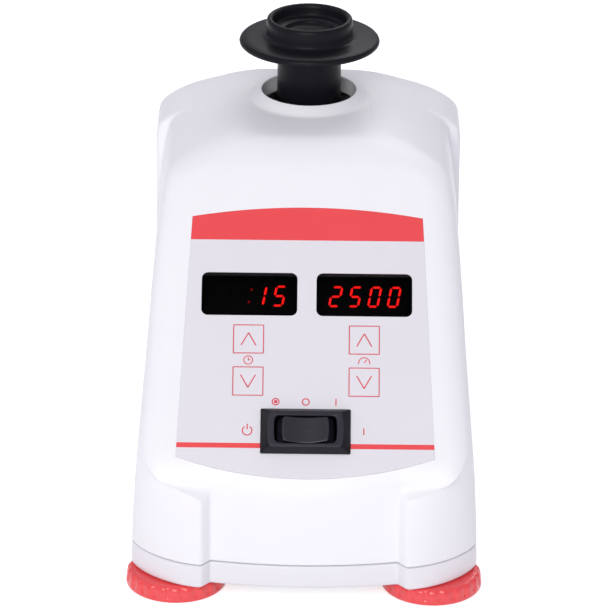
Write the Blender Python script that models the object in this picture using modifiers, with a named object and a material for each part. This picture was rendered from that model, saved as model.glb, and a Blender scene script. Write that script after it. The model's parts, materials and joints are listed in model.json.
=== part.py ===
"""Touch-and-continuous vortex mixer, built piece by piece in metres, +Z up, front towards -Y."""

import math

import bmesh
import bpy
import numpy as np
from mathutils import Matrix

# Gaps and walls
GAP = 0.0003
WALL = 0.0025
RUNNING_GAP = 0.0003

# Whole housing, measured from the bench upwards
TRAY_BOTTOM = 0.005
TRAY_TOP = 0.012
HOUSING_TOP = 0.111
FRONT_WALL_Y = -0.0775
REAR_FOOT_Y = 0.0795
REAR_WALL_TOP_Y = 0.068
REAR_ROUND = 0.018
SHOULDER_ROUND = 0.025
PANEL_OFFSET = 0.1157
FRONT_BULGE = 0.0028
NOTCH_X = 0.0266
FRONT_CORNER = 0.0075
REAR_CORNER = 0.0165
FRONT_BLEND = 0.0022
FOLD_LOW = 0.0380
FOLD_HIGH = 0.0450
FINE = 0.0008
COARSE = 0.0060

# The housing's half width in front of the cheeks and behind them, as shares of its widest, at
# shares of its height
HALF_WIDTH = 0.0494
FLANK = ((0.045, 1.000), (0.162, 0.992), (0.288, 0.976), (0.396, 0.953), (0.495, 0.933),
         (0.586, 0.917), (0.685, 0.901), (0.748, 0.887), (0.811, 0.870), (0.874, 0.850),
         (0.910, 0.832), (0.923, 0.818), (0.937, 0.785), (0.959, 0.692), (0.974, 0.609),
         (0.987, 0.504), (0.996, 0.385), (1.000, 0.263))
CHEEK = ((0.045, 1.000), (0.162, 0.992), (0.288, 0.976), (0.396, 0.953), (0.495, 0.933),
         (0.586, 0.919), (0.685, 0.917), (0.865, 0.919), (0.901, 0.909), (0.910, 0.893),
         (0.923, 0.856), (0.937, 0.808), (0.959, 0.692), (0.974, 0.609), (0.987, 0.504),
         (0.996, 0.385), (1.000, 0.263))
CHEEK_Y = 0.034
CHEEK_BLEND = 0.004

# Foot lobes at the housing's lower corners
FOOT_MARGIN = 0.0130
FOOT_X = HALF_WIDTH - FOOT_MARGIN
FOOT_FRONT_Y = -0.0663
FOOT_REAR_Y = 0.0600
FOOT_RADIUS = 0.0143
FOOT_STEM_RADIUS = 0.0040
FOOT_BARB = 0.0009
FOOT_BARB_HEIGHT = 0.0024
FOOT_LIP = 0.0014
FOOT_CUP = 0.0020
FOOT_SHOULDER = 0.0028
LOBE_FRONT_Y = -0.0808
LOBE_DEPTH = 0.0170
LOBE_SQUARENESS = 1.6
LOBE_TOP_FRONT = 0.0320
LOBE_TOP_REAR = 0.0345
LOBE_TOP_RISE = 0.0075
LOBE_TOP_FLARE = 0.0080
LOBE_TOP_EASE = 0.0140
NOTCH_RUN = 0.0022
NARROW_FRONT = 0.8

# Control panel: its centre lies on the slope, u runs right, v runs up the slope
PANEL_MID_Y = -0.04845
PANEL_TILT = math.radians(45)
PANEL_HALF_TOP = 0.0327
PANEL_HALF_BOTTOM = 0.0361
PANEL_TOP_V = 0.0377
PANEL_BOTTOM_V = -0.0346
PANEL_TOP_ARC = 0.0030
PANEL_BOTTOM_ARC = 0.0062
FILM = 0.0005
FILM_RECESS = FILM + GAP

WINDOW_U = 0.01634
WINDOW_V = 0.0143
WINDOW_WIDTH = 0.0272
WINDOW_HEIGHT = 0.0130
WINDOW_ROUND = 0.0015
WINDOW_THICKNESS = 0.0020

KEY_SIZE = 0.00826
KEY_U = 0.0164
KEY_UPPER_V = 0.0006
KEY_LOWER_V = -0.0121
KEY_STEM = 0.0017
TACT_SIZE = 0.0062
TACT_HEIGHT = 0.0035
TACT_WELL = 0.0014

SWITCH_V = -0.0271
SWITCH_WIDTH = 0.0254
SWITCH_HEIGHT = 0.0134
SWITCH_RISE = 0.0022
SWITCH_MOUTH_WIDTH = 0.0168
SWITCH_MOUTH_HEIGHT = 0.0079
SWITCH_DEPTH = 0.0150
SWITCH_RIM = 0.0010
SWITCH_LEDGE = 0.0010
TRUNNION_RADIUS = 0.0009
TRUNNION_REACH = 0.0006
ROCKER_PIVOT = 0.0025
ROCKER_RISE = 0.0029
ROCKER_LENGTH = 0.0160
ROCKER_WIDTH = 0.0071
ROCKER_END_RUN = 0.0020
ROCKER_MIDDLE = 0.0030
ROCKER_DISH = 0.0004
ROCKER_KEEL = 0.0035

DISPLAY_MARGIN = 0.0005
BOARD_DEPTH = 0.0110
BOARD_THICKNESS = 0.0016
BOARD_WIDTH = 0.0600
BOARD_TOP_V = 0.0300
BOARD_BOTTOM_V = -0.0180

# Mixing head and its drive, all about the vertical drive axis
HEAD_Y = 0.0307
ORBIT = 0.00245
TOUCH_TRAVEL = 0.0015
HOLE_RADIUS = 0.0139
LIP_RADIUS = 0.0168
LIP_HEIGHT = 0.0025
LIP_TOP = HOUSING_TOP + LIP_HEIGHT
LIP_SOFTENING = 0.0018

CUP_RISE = 0.0240
CUP_TOP = HOUSING_TOP + CUP_RISE
CUP_RADIUS = 0.0127
CUP_MOUTH = 0.0107
CUP_WALL = 0.0036
CUP_STEP = 0.0073
CUP_LIP = 0.0006
CUP_DEPTH = 0.0052
COLLAR_HEIGHT = 0.0059
FLANGE_TOP = CUP_TOP - COLLAR_HEIGHT
FLANGE_THICKNESS = 0.0025
FLANGE_ROUND = 0.0007
FLANGE_FILLET = 0.0026
FLANGE_RADIUS = 0.0207
NECK_RADIUS = 0.0094
NECK_FADE = 0.0055
NECK_DROP = 0.0090
NECK_BOTTOM = HOUSING_TOP - NECK_DROP
POST_RADIUS = 0.0065
POST_TOP = FLANGE_TOP - 2 * FLANGE_THICKNESS - 2 * GAP
CARRIER_RADIUS = 0.0110
CARRIER_HEIGHT = 0.0100
CARRIER_BOTTOM = NECK_BOTTOM - CARRIER_HEIGHT
HEAD_BEARING_RADIUS = 0.0080
HEAD_BEARING_HEIGHT = 0.0070
PIN_RADIUS = 0.0030
PIN_LENGTH = 0.0145
PIN_TOP = CARRIER_BOTTOM + PIN_LENGTH

SHAFT_RADIUS = 0.0025
SHAFT_BOTTOM = 0.0310
HUB_RADIUS = 0.0085
HUB_HEIGHT = 0.0125
HUB_COVER = 0.0050
HUB_DROP = 0.0040
HUB_TOP = CARRIER_BOTTOM - HUB_DROP
HUB_BOTTOM = HUB_TOP - HUB_HEIGHT
SHAFT_TOP = HUB_TOP - HUB_COVER
WEIGHT_ROOT_X = 0.0035
WEIGHT_ROOT_Y = 0.0020
WEIGHT_BELOW = 0.0020
WEIGHT_ABOVE = 0.0015
PIN_SHOULDER = 0.0014
WEIGHT_OUTER = 0.0190
MOTOR_RADIUS = 0.0220
HUB_CLEARANCE = 0.0032
BELL_HEIGHT = 0.0095
BELL_WALL = 0.0030
BEARING_RADIUS = 0.0080
BEARING_HEIGHT = 0.0050
STATOR_BORE = 0.0145
STATOR_SLOTS = 8
STATOR_SLOT_LENGTH = 0.0050
STATOR_SLOT_WIDTH = 0.0026
ROTOR_RADIUS = 0.0140
ROTOR_INSET = 0.0020

# Chassis inside the base
BALLAST_TOP = 0.0158
BALLAST_WIDTH = 0.0600
BALLAST_FRONT_Y = -0.0480
BALLAST_REAR_Y = 0.0620
ISOLATOR_RADIUS = 0.0050
ISOLATOR_HEIGHT = 0.0140
ISOLATOR_WAIST = 0.82
ISOLATOR_STUD = 0.0040
ISOLATOR_THREAD = 0.0060
ISOLATOR_SCREW_LENGTH = 0.0070
PLATE_EDGE = 0.0005
PLATE_SIZE = 2 * (MOTOR_RADIUS + PLATE_EDGE)
ISOLATOR_MARGIN = 0.0045
ISOLATOR_SPREAD = PLATE_SIZE / 2 - ISOLATOR_MARGIN
PLATE_THICKNESS = 0.0020
PLUNGER_FLANGE_RADIUS = 0.0090
PLUNGER_FLANGE = 0.0020
PLUNGER_STEM_RADIUS = 0.0040
PLUNGER_PILOT = 0.0040
PLUNGER_STAND = 0.0010
SPRING_RADIUS = 0.0047
SPRING_WIRE = 0.0008
SPRING_TURNS = 6
MICROSWITCH_WIDTH = 0.0056
MICROSWITCH_LENGTH = 0.0198
MICROSWITCH_HEIGHT = 0.0102
MICROSWITCH_X = 0.0083
MICROSWITCH_BUTTON = 0.0010
MICROSWITCH_WELL = 0.0025
SCREW_RADIUS = 0.0015
SCREW_HEAD_RADIUS = 0.0028
SCREW_HEAD_HEIGHT = 0.0018
PLATE_BOTTOM = BALLAST_TOP + ISOLATOR_HEIGHT + 2 * GAP
MOTOR_BOTTOM = PLATE_BOTTOM + PLATE_THICKNESS + GAP
MOTOR_TOP = HUB_BOTTOM - HUB_CLEARANCE
STATOR_HEIGHT = MOTOR_TOP - MOTOR_BOTTOM - 2 * (BELL_HEIGHT + GAP)
ROTOR_HEIGHT = STATOR_HEIGHT - 2 * ROTOR_INSET

# Housing screws and their bosses
BOSS_MARGIN = 0.0059
BOSS_X = HALF_WIDTH - BOSS_MARGIN
BOSS_FRONT_Y = -0.0330
BOSS_REAR_Y = 0.0360
BOSS_RADIUS = 0.0038
BOSS_HEIGHT = 0.0140
HOUSING_SCREW_LENGTH = 0.0125

# Mains inlet in the rear wall
INLET_Z = 0.0330
INLET_WIDTH = 0.0272
INLET_HEIGHT = 0.0200
PLATE_CLEARANCE = 0.0005
INLET_SETBACK = 0.0083
INLET_FACE_Y = REAR_FOOT_Y - INLET_SETBACK
INLET_DEPTH = INLET_FACE_Y - HEAD_Y - PLATE_SIZE / 2 - PLATE_CLEARANCE
INLET_FLANGE_WIDTH = 0.0480
INLET_FLANGE_HEIGHT = 0.0236
INLET_FLANGE = 0.0024
INLET_SCREW_MARGIN = 0.0040
INLET_SCREW_SPREAD = INLET_FLANGE_WIDTH / 2 - INLET_SCREW_MARGIN
INLET_CORNER = 0.0030
SOCKET_WIDTH = 0.0240
SOCKET_HEIGHT = 0.0160
SOCKET_DEPTH = INLET_DEPTH - WALL
PIN_SPREAD = 0.0070
PIN_DROP = 0.0040
PIN_WIDTH = 0.0020
PIN_HEIGHT = 0.0040
PIN_ROOT = 0.0018
PIN_SETBACK = 0.0010
PIN_ROUND = 0.0003

# Power board behind the front wall
POWER_BOARD_Y = -0.0300
POWER_BOARD_LENGTH = 0.0340
POWER_BOARD_MARGIN = 0.0020
POWER_BOARD_WIDTH = BALLAST_WIDTH - 2 * POWER_BOARD_MARGIN
STANDOFF_RADIUS = 0.0030
STANDOFF_HEIGHT = 0.0060
TRANSFORMER_WIDTH = 0.0260
TRANSFORMER_LENGTH = 0.0220
TRANSFORMER_HEIGHT = 0.0180
TRANSFORMER_X = -0.0080
TRANSFORMER_ROUND = 0.0008
BOARD_LOW = BALLAST_TOP + STANDOFF_HEIGHT + GAP

FINISHES = {
    "white_abs": ((0.93, 0.93, 0.95, 1), 0.35, 0.0),
    "grey_abs": ((0.74, 0.74, 0.78, 1), 0.40, 0.0),
    "red_rubber": ((0.90, 0.10, 0.11, 1), 0.45, 0.0),
    "black_rubber": ((0.014, 0.014, 0.016, 1), 0.55, 0.0),
    "printed_film": ((0.76, 0.76, 0.80, 1), 0.45, 0.0),
    "smoked_acrylic": ((0.01, 0.005, 0.005, 1), 0.08, 0.0),
    "red_display": ((0.45, 0.02, 0.02, 1), 0.30, 0.0),
    "black_nylon": ((0.025, 0.025, 0.03, 1), 0.40, 0.0),
    "green_laminate": ((0.02, 0.13, 0.05, 1), 0.45, 0.0),
    "bright_steel": ((0.60, 0.60, 0.62, 1), 0.30, 1.0),
    "cast_zinc": ((0.42, 0.43, 0.45, 1), 0.50, 1.0),
    "motor_steel": ((0.35, 0.36, 0.38, 1), 0.45, 1.0),
    "nickel_brass": ((0.80, 0.74, 0.55, 1), 0.30, 1.0),
}

for stale in list(bpy.data.objects):
    bpy.data.objects.remove(stale, do_unlink=True)

model = bpy.data.collections.new("vortex_mixer")
cutters = bpy.data.collections.new("cutters")
bpy.context.scene.collection.children.link(model)
bpy.context.scene.collection.children.link(cutters)


def make_materials():
    """One Principled material for each finish."""
    for name, (colour, roughness, metallic) in FINISHES.items():
        made = bpy.data.materials.new(name)
        made.use_nodes = True
        made.diffuse_color = colour
        shader = made.node_tree.nodes["Principled BSDF"]
        shader.inputs["Base Color"].default_value = colour
        shader.inputs["Roughness"].default_value = roughness
        shader.inputs["Metallic"].default_value = metallic


def place(mesh, name, finish=None, at=(0, 0, 0), turn=(0, 0, 0), parent=None):
    """Wraps a mesh in an object; one without a finish is a cutter."""
    piece = bpy.data.objects.new(name, mesh)
    piece.location = at
    piece.rotation_euler = turn
    piece.parent = parent
    if finish:
        mesh.materials.append(bpy.data.materials[finish])
        model.objects.link(piece)
        mesh.shade_smooth()
        mesh.set_sharp_from_angle(angle=math.radians(35))
    else:
        piece.hide_render = True
        piece.display_type = "WIRE"
        cutters.objects.link(piece)
    return piece


def mesh_from(shape, name):
    """Turns a bmesh into a mesh with its faces pointing out."""
    bmesh.ops.recalc_face_normals(shape, faces=shape.faces)
    mesh = bpy.data.meshes.new(name)
    shape.to_mesh(mesh)
    shape.free()
    return mesh


def box(name, size, centre, finish=None, parent=None, rounding=0.0, turn=(0, 0, 0)):
    """A block of the given size about its centre, with rounded edges."""
    shape = bmesh.new()
    bmesh.ops.create_cube(shape, size=1.0, matrix=Matrix.Diagonal((*size, 1)))
    piece = place(mesh_from(shape, name), name, finish, centre, turn, parent)
    if rounding:
        round_edges(piece, rounding)
    return piece


def cylinder(name, radius, low, high, finish=None, at=(0, 0), parent=None, sides=32, turn=(0, 0, 0)):
    """An upright cylinder between two heights."""
    shape = bmesh.new()
    bmesh.ops.create_cone(shape, cap_ends=True, segments=sides, radius1=radius, radius2=radius,
                          depth=high - low)
    centre = (at[0], at[1], (low + high) / 2)
    return place(mesh_from(shape, name), name, finish, centre, turn, parent)


def turned(name, profile, finish=None, at=(0, 0), parent=None, steps=40):
    """A profile of (radius, height) points, spun about the vertical; it runs down its outer side."""
    shape = bmesh.new()
    points = [shape.verts.new((radius, 0, height)) for radius, height in profile]
    closed = all(radius > 0 for radius, height in profile)
    ends = points + points[:1] if closed else points
    for first, second in zip(ends, ends[1:]):
        shape.edges.new((first, second))
    mesh = bpy.data.meshes.new(name)
    shape.to_mesh(mesh)
    shape.free()
    piece = place(mesh, name, finish, (*at, 0), parent=parent)
    spin = piece.modifiers.new("Spin", "SCREW")
    spin.steps = steps
    spin.render_steps = steps
    spin.use_merge_vertices = True
    spin.merge_threshold = 0.00001
    spin.use_smooth_shade = True
    return piece


def slab(name, outline, low, high, finish=None, parent=None, turn=(0, 0, 0), at=(0, 0, 0)):
    """A flat outline given as (x, y) points, extruded between two heights."""
    curve = bpy.data.curves.new(name, "CURVE")
    curve.dimensions = "2D"
    curve.fill_mode = "BOTH"
    curve.extrude = (high - low) / 2
    line = curve.splines.new("POLY")
    line.points.add(len(outline) - 1)
    line.use_cyclic_u = True
    for point, (x, y) in zip(line.points, outline):
        point.co = (x, y, 0, 1)
    guide = bpy.data.objects.new(name + "_outline", curve)
    cutters.objects.link(guide)
    bpy.context.view_layer.update()
    graph = bpy.context.evaluated_depsgraph_get()
    mesh = bpy.data.meshes.new_from_object(guide.evaluated_get(graph))
    bpy.data.objects.remove(guide, do_unlink=True)
    bpy.data.curves.remove(curve)
    shape = bmesh.new()
    shape.from_mesh(mesh)
    bpy.data.meshes.remove(mesh)
    bmesh.ops.remove_doubles(shape, verts=shape.verts, dist=0.00001)
    bmesh.ops.translate(shape, verts=shape.verts, vec=(0, 0, (low + high) / 2))
    return place(mesh_from(shape, name), name, finish, at, turn, parent)


def round_edges(piece, width, segments=2, angle=math.radians(40)):
    bevel = piece.modifiers.new("Rounding", "BEVEL")
    bevel.width = width
    bevel.segments = segments
    bevel.limit_method = "ANGLE"
    bevel.angle_limit = angle


def combine(piece, other, operation):
    """A Boolean that keeps the exact solver."""
    step = piece.modifiers.new(operation.title() + "_" + other.name, "BOOLEAN")
    step.operation = operation
    step.object = other
    return piece


def cut(piece, *others):
    for other in others:
        combine(piece, other, "DIFFERENCE")
    return piece


def join(piece, *others):
    for other in others:
        combine(piece, other, "UNION")
    return piece


def rounded_outline(half_width, half_height, radius, steps=4):
    """A rectangle about the origin with round corners, anticlockwise."""
    points = []
    for corner in range(4):
        side_x = (1, -1, -1, 1)[corner]
        side_y = (1, 1, -1, -1)[corner]
        for step in range(steps + 1):
            angle = math.pi / 2 * (corner + step / steps)
            x = side_x * (half_width - radius) + radius * math.cos(angle)
            y = side_y * (half_height - radius) + radius * math.sin(angle)
            points.append((x, y))
    return points


def empty(name, at, turn=(0, 0, 0), parent=None):
    """A bare frame that carries pieces, placed on a joint's axis or on the panel."""
    holder = bpy.data.objects.new(name, None)
    holder.location = at
    holder.rotation_euler = turn
    holder.parent = parent
    model.objects.link(holder)
    return holder


# The housing's skin as a stack of plan outlines


def half_width(table, height):
    heights, widths = zip(*table)
    return HALF_WIDTH * float(np.interp(height / HOUSING_TOP, heights, widths))


def smooth_max(first, second):
    """The larger of two distances, eased over the width of a moulded fold."""
    return max(first, second) + FRONT_BLEND * math.log1p(math.exp(-abs(first - second) / FRONT_BLEND))


def front_y(x, height):
    """The front wall below, the slope above it and the round shoulder at the top."""
    bow = FRONT_BULGE * max(0.0, 1 - (x / NOTCH_X) ** 2)
    wall = FRONT_WALL_Y - bow
    slope = height - PANEL_OFFSET
    edge = smooth_max(wall, slope)
    start = HOUSING_TOP - SHOULDER_ROUND * (1 - math.cos(PANEL_TILT))
    if height <= start:
        return edge
    centre_y = start - PANEL_OFFSET + SHOULDER_ROUND * math.sin(PANEL_TILT)
    rise = height - (HOUSING_TOP - SHOULDER_ROUND)
    return centre_y - math.sqrt(max(0.0, SHOULDER_ROUND ** 2 - rise ** 2))


def rear_y(height):
    """The leaning rear wall and the round edge above it."""
    rise = height - (HOUSING_TOP - REAR_ROUND)
    centre_y = REAR_WALL_TOP_Y - REAR_ROUND
    if rise > 0:
        return centre_y + math.sqrt(max(0.0, REAR_ROUND ** 2 - rise ** 2))
    share = (height - TRAY_BOTTOM) / (HOUSING_TOP - REAR_ROUND - TRAY_BOTTOM)
    return REAR_FOOT_Y + (REAR_WALL_TOP_Y - REAR_FOOT_Y) * share


def lobe_share(x, height):
    """1 where the foot lobe stands out in full, 0 above its sloping top, which fades out at the flank."""
    outward = min(1.0, max(0.0, x - NOTCH_X) / (HALF_WIDTH - NOTCH_X))
    flare = outward ** 4
    top = LOBE_TOP_REAR + LOBE_TOP_RISE * outward + LOBE_TOP_FLARE * flare
    reach = LOBE_TOP_REAR - LOBE_TOP_FRONT + LOBE_TOP_EASE * flare
    return float(np.clip((top - height) / reach, 0, 1))


def corner_points(height, flank, inset):
    """The front corner from the notch round to the flank, between the lobe's curve and the wall's."""
    wall_y = front_y(NOTCH_X, height)
    slope = height - PANEL_OFFSET
    share = lobe_share(NOTCH_X, height)
    notch_y = wall_y + (smooth_max(LOBE_FRONT_Y, slope) - wall_y) * share
    points = [(NOTCH_X + NOTCH_RUN + inset * share, notch_y + inset)]
    lobe_start = NOTCH_X + NOTCH_RUN + inset
    power = 2 / LOBE_SQUARENESS
    high_round = min(FRONT_CORNER, flank * 0.5) - inset * 0.5
    for angle in np.linspace(0, math.pi / 2, 9)[1:]:
        low_x = lobe_start + (flank - lobe_start) * math.sin(angle) ** power
        low_y = LOBE_FRONT_Y + LOBE_DEPTH * (1 - max(0.0, math.cos(angle)) ** power)
        low_y = smooth_max(low_y, slope) + inset
        high_x = flank - high_round * (1 - math.sin(angle))
        high_y = wall_y + inset + high_round * (1 - math.cos(angle))
        share = lobe_share(low_x, height)
        points.append((high_x + (low_x - high_x) * share, high_y + (low_y - high_y) * share))
    return points


def plan_outline(height, inset=0.0):
    """The housing's outline at a height, as (x, y) points, from the front's middle round to the right."""
    flank = half_width(FLANK, height) - inset
    cheek = half_width(CHEEK, height) - inset
    back = rear_y(height) - inset
    rear_round = min(REAR_CORNER, cheek * 0.5) - inset * 0.5
    corner_start = flank - min(FRONT_CORNER, flank * 0.5)
    middle = min(NOTCH_X, corner_start * NARROW_FRONT)
    right = [(x, front_y(x, height) + inset) for x in np.linspace(0, middle, 5)]
    if middle < NOTCH_X:
        right.append(((middle + corner_start) / 2, front_y(NOTCH_X, height) + inset))
        right += corner_points(height, flank, inset)[1:]
    else:
        right += corner_points(height, flank, inset)
    step_y = min(CHEEK_Y, back - rear_round - CHEEK_BLEND)
    right.append((flank, step_y - CHEEK_BLEND / 2))
    right.append((cheek, step_y + CHEEK_BLEND / 2))
    for angle in np.linspace(0, math.pi / 2, 6):
        right.append((cheek - rear_round + rear_round * math.cos(angle),
                      back - rear_round + rear_round * math.sin(angle)))
    left = [(-x, y) for x, y in reversed(right) if x > 0]
    return right + left


def section_heights(low, high, spacing):
    """Heights of the stacked outlines, closer together where the front folds and the top rounds over."""
    breaks = [HOUSING_TOP * share for share, width in FLANK + CHEEK]
    fold = list(np.linspace(LOBE_TOP_FRONT, LOBE_TOP_REAR + LOBE_TOP_RISE + LOBE_TOP_FLARE, 9))
    fold += list(np.linspace(FOLD_LOW, FOLD_HIGH, 5))
    start = HOUSING_TOP - SHOULDER_ROUND * (1 - math.cos(PANEL_TILT))
    shoulder = [start + (high - start) * math.sin(angle) for angle in np.linspace(0, 1.5, 8)]
    inside = [height for height in breaks + fold + shoulder if low < height < high]
    kept = [low]
    for height in sorted(inside):
        if height - kept[-1] > spacing and high - height > 0.0001:
            kept.append(height)
    return kept + [high]


def skin(name, low, high, inset=0.0, lift=0.0, finish=None, spacing=FINE):
    """Lofts the housing's outlines between two heights; lift samples the shape that much higher."""
    shape = bmesh.new()
    rings = []
    for height in section_heights(low, high, spacing):
        outline = plan_outline(height + lift, inset)
        rings.append([shape.verts.new((x, y, height)) for x, y in outline])
    for lower, upper in zip(rings, rings[1:]):
        for index in range(len(lower)):
            after = (index + 1) % len(lower)
            shape.faces.new((lower[index], lower[after], upper[after], upper[index]))
    shape.faces.new(rings[0])
    shape.faces.new(rings[-1])
    return place(mesh_from(shape, name), name, finish)


make_materials()
panel = empty("panel_frame", (0, PANEL_MID_Y, PANEL_MID_Y + PANEL_OFFSET), (PANEL_TILT, 0, 0))
drive = empty("drive_axis", (0, HEAD_Y, 0))
orbit = empty("orbit_axis", (0, ORBIT, 0), parent=drive)


def film_outline(grow=0.0):
    """The film's tapering outline with arched ends, in panel coordinates."""
    points = []
    for share in np.linspace(1, -1, 9):
        points.append((share * (PANEL_HALF_TOP + grow),
                       PANEL_TOP_V + grow + PANEL_TOP_ARC * (1 - share ** 2)))
    for share in np.linspace(-1, 1, 11):
        points.append((share * (PANEL_HALF_BOTTOM + grow),
                       PANEL_BOTTOM_V - grow - PANEL_BOTTOM_ARC * (1 - share ** 2)))
    return points


def key_places():
    """Name and panel position of each key."""
    for row, v in (("up", KEY_UPPER_V), ("down", KEY_LOWER_V)):
        for quantity, u in (("time", -KEY_U), ("speed", KEY_U)):
            yield f"{quantity}_{row}", u, v


def switch_frustum(name, finish=None):
    """The rocker's raised frame: a block whose sides lean in to the mouth's rim."""
    shape = bmesh.new()
    size = Matrix.Diagonal((SWITCH_WIDTH, SWITCH_HEIGHT, SWITCH_RISE, 1))
    bmesh.ops.create_cube(shape, size=1.0, matrix=size)
    lean_u = (SWITCH_MOUTH_WIDTH + 2 * SWITCH_RIM) / SWITCH_WIDTH
    lean_v = (SWITCH_MOUTH_HEIGHT + 2 * SWITCH_RIM) / SWITCH_HEIGHT
    for vertex in shape.verts:
        if vertex.co.z > 0:
            vertex.co.x *= lean_u
            vertex.co.y *= lean_v
    bmesh.ops.translate(shape, verts=shape.verts, vec=(0, 0, GAP + SWITCH_RISE / 2))
    return place(mesh_from(shape, name), name, finish, (0, SWITCH_V, 0), parent=panel)


def make_housing():
    """The white moulding: stacked skin, foot lobes, rim, hollow, posts and every opening."""
    bottom = TRAY_TOP + GAP
    housing = skin("upper_housing", bottom, HOUSING_TOP, finish="white_abs")
    soft = LIP_SOFTENING
    rim = [(0, LIP_TOP), (LIP_RADIUS - soft, LIP_TOP), (LIP_RADIUS - soft * 0.55, LIP_TOP - soft * 0.45),
           (LIP_RADIUS - soft * 0.15, HOUSING_TOP), (LIP_RADIUS, HOUSING_TOP - soft * 0.35),
           (LIP_RADIUS, HOUSING_TOP - WALL / 2), (0, HOUSING_TOP - WALL / 2)]
    join(housing, turned("rim", rim, at=(0, HEAD_Y)))
    cut(housing, skin("hollow", bottom - WALL, HOUSING_TOP - WALL, inset=WALL, lift=WALL,
                      spacing=COARSE))
    for x, y, word in boss_places():
        join(housing, cylinder("boss_" + word, BOSS_RADIUS, bottom, bottom + BOSS_HEIGHT, at=(x, y)))
        cut(housing, cylinder("boss_bore_" + word, SCREW_RADIUS + GAP, bottom - WALL,
                              bottom + BOSS_HEIGHT - WALL, at=(x, y), sides=16))
    pad_low = INLET_Z - INLET_FLANGE_HEIGHT / 2 - GAP - WALL
    pad_high = INLET_Z + INLET_FLANGE_HEIGHT / 2 + GAP + WALL
    pad_out = rear_y(pad_high) - GAP
    pad_in = INLET_FACE_Y - WALL
    pad_width = INLET_FLANGE_WIDTH + 2 * (GAP + WALL)
    join(housing, box("inlet_pad", (pad_width, pad_out - pad_in, pad_high - pad_low),
                      (0, (pad_in + pad_out) / 2, (pad_low + pad_high) / 2)))
    pocket_depth = REAR_FOOT_Y - INLET_FACE_Y + WALL
    cut(housing, box("inlet_pocket",
                     (INLET_FLANGE_WIDTH + 2 * GAP, pocket_depth, INLET_FLANGE_HEIGHT + 2 * GAP),
                     (0, INLET_FACE_Y + pocket_depth / 2, INLET_Z)))
    cut(housing, box("inlet_opening", (INLET_WIDTH + 2 * GAP, 4 * WALL, INLET_HEIGHT + 2 * GAP),
                     (0, INLET_FACE_Y, INLET_Z)))
    for side in (-1, 1):
        bore = cylinder(f"inlet_bore_{side}", SCREW_RADIUS + GAP, -2 * WALL, 2 * WALL, sides=16,
                        turn=(math.pi / 2, 0, 0))
        bore.location = (side * INLET_SCREW_SPREAD, INLET_FACE_Y, INLET_Z)
        cut(housing, bore)
    cut(housing, cylinder("head_hole", HOLE_RADIUS, HOUSING_TOP - 4 * WALL, LIP_TOP + WALL,
                          at=(0, HEAD_Y), sides=48))
    cut_panel(housing)
    return housing


def cut_panel(housing):
    """The film's recess, the windows, the key wells, the switch opening and the board's posts."""
    for index, (u, v) in enumerate(post_places()):
        join(housing, cylinder(f"post_{index}", STANDOFF_RADIUS, -BOARD_DEPTH + GAP, -WALL, at=(u, v),
                               parent=panel, sides=16))
        join(housing, cylinder(f"peg_{index}", SCREW_RADIUS, -BOARD_DEPTH - BOARD_THICKNESS - GAP, -WALL,
                               at=(u, v), parent=panel, sides=12))
    cut(housing, slab("film_recess", film_outline(GAP), -FILM_RECESS, WALL, parent=panel))
    for side in (-1, 1):
        hole = rounded_outline(WINDOW_WIDTH / 2 + GAP, WINDOW_HEIGHT / 2 + GAP, WINDOW_ROUND + GAP)
        cut(housing, slab(f"window_hole_{side}", hole, -3 * WALL, WALL, parent=panel,
                          at=(side * WINDOW_U, WINDOW_V, 0)))
    for word, u, v in key_places():
        size = KEY_SIZE + 2 * GAP
        cut(housing, box("key_well_" + word, (size, size, 6 * WALL), (u, v, 0), parent=panel))
    body = (SWITCH_WIDTH - 2 * SWITCH_LEDGE + 2 * GAP, SWITCH_HEIGHT - 2 * SWITCH_LEDGE + 2 * GAP, 8 * WALL)
    cut(housing, box("switch_hole", body, (0, SWITCH_V, 0), parent=panel))


def boss_places():
    for y, end in ((BOSS_FRONT_Y, "front"), (BOSS_REAR_Y, "rear")):
        for side, word in ((-1, "left"), (1, "right")):
            yield side * BOSS_X, y, f"{end}_{word}"


def post_places():
    for v in (BOARD_TOP_V - STANDOFF_RADIUS, BOARD_BOTTOM_V + STANDOFF_RADIUS):
        for side in (-1, 1):
            yield side * (BOARD_WIDTH / 2 - STANDOFF_RADIUS), v


def foot_places():
    for y, end in ((FOOT_FRONT_Y, "front"), (FOOT_REAR_Y, "rear")):
        for side, word in ((-1, "left"), (1, "right")):
            yield side * FOOT_X, y, f"{end}_{word}"


def make_tray():
    """The grey tray that closes the housing from below."""
    tray = skin("base_tray", TRAY_BOTTOM, TRAY_TOP, finish="grey_abs")
    cut(tray, skin("tray_hollow", TRAY_BOTTOM + WALL, TRAY_TOP + WALL, inset=WALL))
    for x, y, word in foot_places():
        cut(tray, cylinder("foot_hole_" + word, FOOT_STEM_RADIUS + GAP, 0, TRAY_TOP, at=(x, y), sides=24))
    for x, y, word in boss_places():
        join(tray, cylinder("seat_" + word, BOSS_RADIUS, TRAY_BOTTOM + WALL / 2, TRAY_TOP, at=(x, y)))
        cut(tray, cylinder("screw_hole_" + word, SCREW_RADIUS + GAP, 0, TRAY_TOP + WALL, at=(x, y), sides=16))
        cut(tray, cylinder("screw_sink_" + word, SCREW_HEAD_RADIUS + GAP, 0,
                           TRAY_BOTTOM + SCREW_HEAD_HEIGHT + GAP, at=(x, y), sides=24))


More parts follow.
